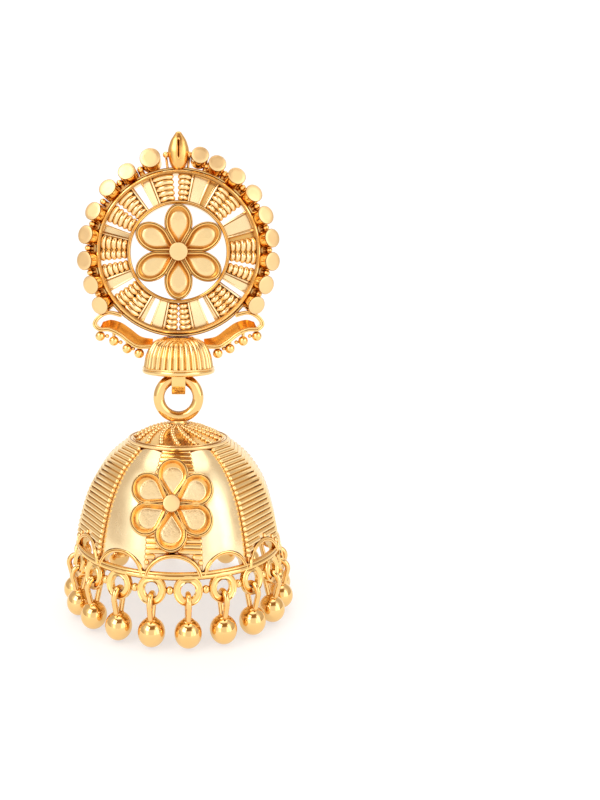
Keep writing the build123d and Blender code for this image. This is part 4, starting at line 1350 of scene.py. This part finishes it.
# where the studio's panels, sides, back and ceiling begin and end, as parts of a direction one unit long
PANEL_IN, PANEL_OUT, PANEL_TOP = (0.36, 0.44), (0.66, 0.74), (0.5, 0.6)
SIDE_IN, BACK_IN = (0.84, 0.94), (0.4, 0.5)
CEILING_LOW, CEILING_HIGH, CEILING_OUT = (0.58, 0.68), (0.9, 0.96), (0.4, 0.55)
SIDE_SHARE = 0.5
PANEL_GAIN = 0.8
STUDIO_WHITE = (1.0, 0.995, 0.985)
STUDIO_WARM = (0.36, 0.2, 0.08)


def make_stage():
    """Pale floor that curves up into a wall far behind."""
    mesh = bpy.data.meshes.new("stage_floor")
    profile = [(FLOOR_FRONT, 0.0), (FLOOR_BACK, 0.0)]
    for a in np.linspace(0, math.pi / 2, 17)[1:]:
        profile.append((FLOOR_BACK + WALL_BEND * math.sin(a), WALL_BEND - WALL_BEND * math.cos(a)))
    profile.append((FLOOR_BACK + WALL_BEND, WALL_TOP))
    verts = [(x, y, FLOOR_Z + z) for y, z in profile for x in (FLOOR_LEFT, FLOOR_RIGHT)]
    faces = [(i, i + 1, i + 3, i + 2) for i in range(0, len(verts) - 2, 2)]
    mesh.from_pydata(verts, [], faces)
    mesh.polygons.foreach_set("use_smooth", [True] * len(mesh.polygons))
    floor = bpy.data.objects.new("stage_floor", mesh)
    bpy.context.scene.collection.objects.link(floor)
    material = bpy.data.materials.new("stage_white")
    material.use_nodes = True
    shader = material.node_tree.nodes["Principled BSDF"]
    shader.inputs["Base Color"].default_value = (0.4, 0.39, 0.38, 1)
    shader.inputs["Roughness"].default_value = 0.6
    shader.inputs["Emission Color"].default_value = (1, 1, 1, 1)
    shader.inputs["Emission Strength"].default_value = 0.62
    mesh.materials.append(material)


def area_light(name, place, target, size, power):
    data = bpy.data.lights.new(name, "AREA")
    data.shape = "RECTANGLE"
    data.size, data.size_y = size
    data.energy = power
    light = bpy.data.objects.new(name, data)
    light.location = place
    light.rotation_euler = (Vector(target) - Vector(place)).to_track_quat("-Z", "Y").to_euler()
    bpy.context.scene.collection.objects.link(light)


def fall(tree, value, span):
    """Even ramp from 1 down to 0."""
    return rise(tree, value, span, 1.0, 0.0)


def combine(tree, operation, *values):
    node = tree.nodes.new("ShaderNodeMath")
    node.operation = operation
    for socket, value in zip(node.inputs, values):
        if isinstance(value, (int, float)):
            socket.default_value = value
        else:
            tree.links.new(value, socket)
    return node.outputs["Value"]


def product(tree, first, *others):
    for other in others:
        first = combine(tree, "MULTIPLY", first, other)
    return first


def make_world():
    """White studio: two bright upright panels ahead, and warm dark sides, back and front ceiling."""
    world = bpy.data.worlds.new("studio")
    bpy.context.scene.world = world
    world.use_nodes = True
    tree = world.node_tree
    coords = tree.nodes.new("ShaderNodeTexCoord")
    split = tree.nodes.new("ShaderNodeSeparateXYZ")
    tree.links.new(coords.outputs["Generated"], split.inputs["Vector"])
    aside = combine(tree, "ABSOLUTE", split.outputs["X"])
    up = split.outputs["Z"]
    ahead = fall(tree, split.outputs["Y"], (-0.1, 0.1))
    behind = combine(tree, "SUBTRACT", 1.0, ahead)
    panels = product(tree, rise(tree, aside, PANEL_IN), fall(tree, aside, PANEL_OUT),
                     fall(tree, up, PANEL_TOP), ahead)
    back = product(tree, rise(tree, aside, BACK_IN), behind)
    sides = product(tree, combine(tree, "MAXIMUM", rise(tree, aside, SIDE_IN), back), SIDE_SHARE)
    ceiling = product(tree, rise(tree, up, CEILING_LOW), fall(tree, up, CEILING_HIGH),
                      fall(tree, aside, CEILING_OUT), ahead)
    light = combine(tree, "MULTIPLY_ADD", panels, PANEL_GAIN, 1.0)
    tone = mixed(tree, combine(tree, "MAXIMUM", sides, ceiling), STUDIO_WHITE, STUDIO_WARM)
    tree.links.new(tone, tree.nodes["Background"].inputs["Color"])
    tree.links.new(light, tree.nodes["Background"].inputs["Strength"])


make_stage()
make_world()
for row in LIGHTS:
    area_light(*row)

camera_data = bpy.data.cameras.new("camera")
camera_data.sensor_fit = "HORIZONTAL"
camera_data.sensor_width = 36.0
camera_data.lens = 43.2
camera_data.shift_x = 0.2025
camera_data.shift_y = -0.1933
camera_data.clip_start = 0.005
camera_data.clip_end = 10.0
camera = bpy.data.objects.new("camera", camera_data)
camera.location = (0.0, -0.0913, -0.004)
camera.rotation_euler = (math.radians(90), 0, 0)
bpy.context.scene.collection.objects.link(camera)
bpy.context.scene.camera = camera
bpy.context.scene.view_settings.view_transform = "Standard"
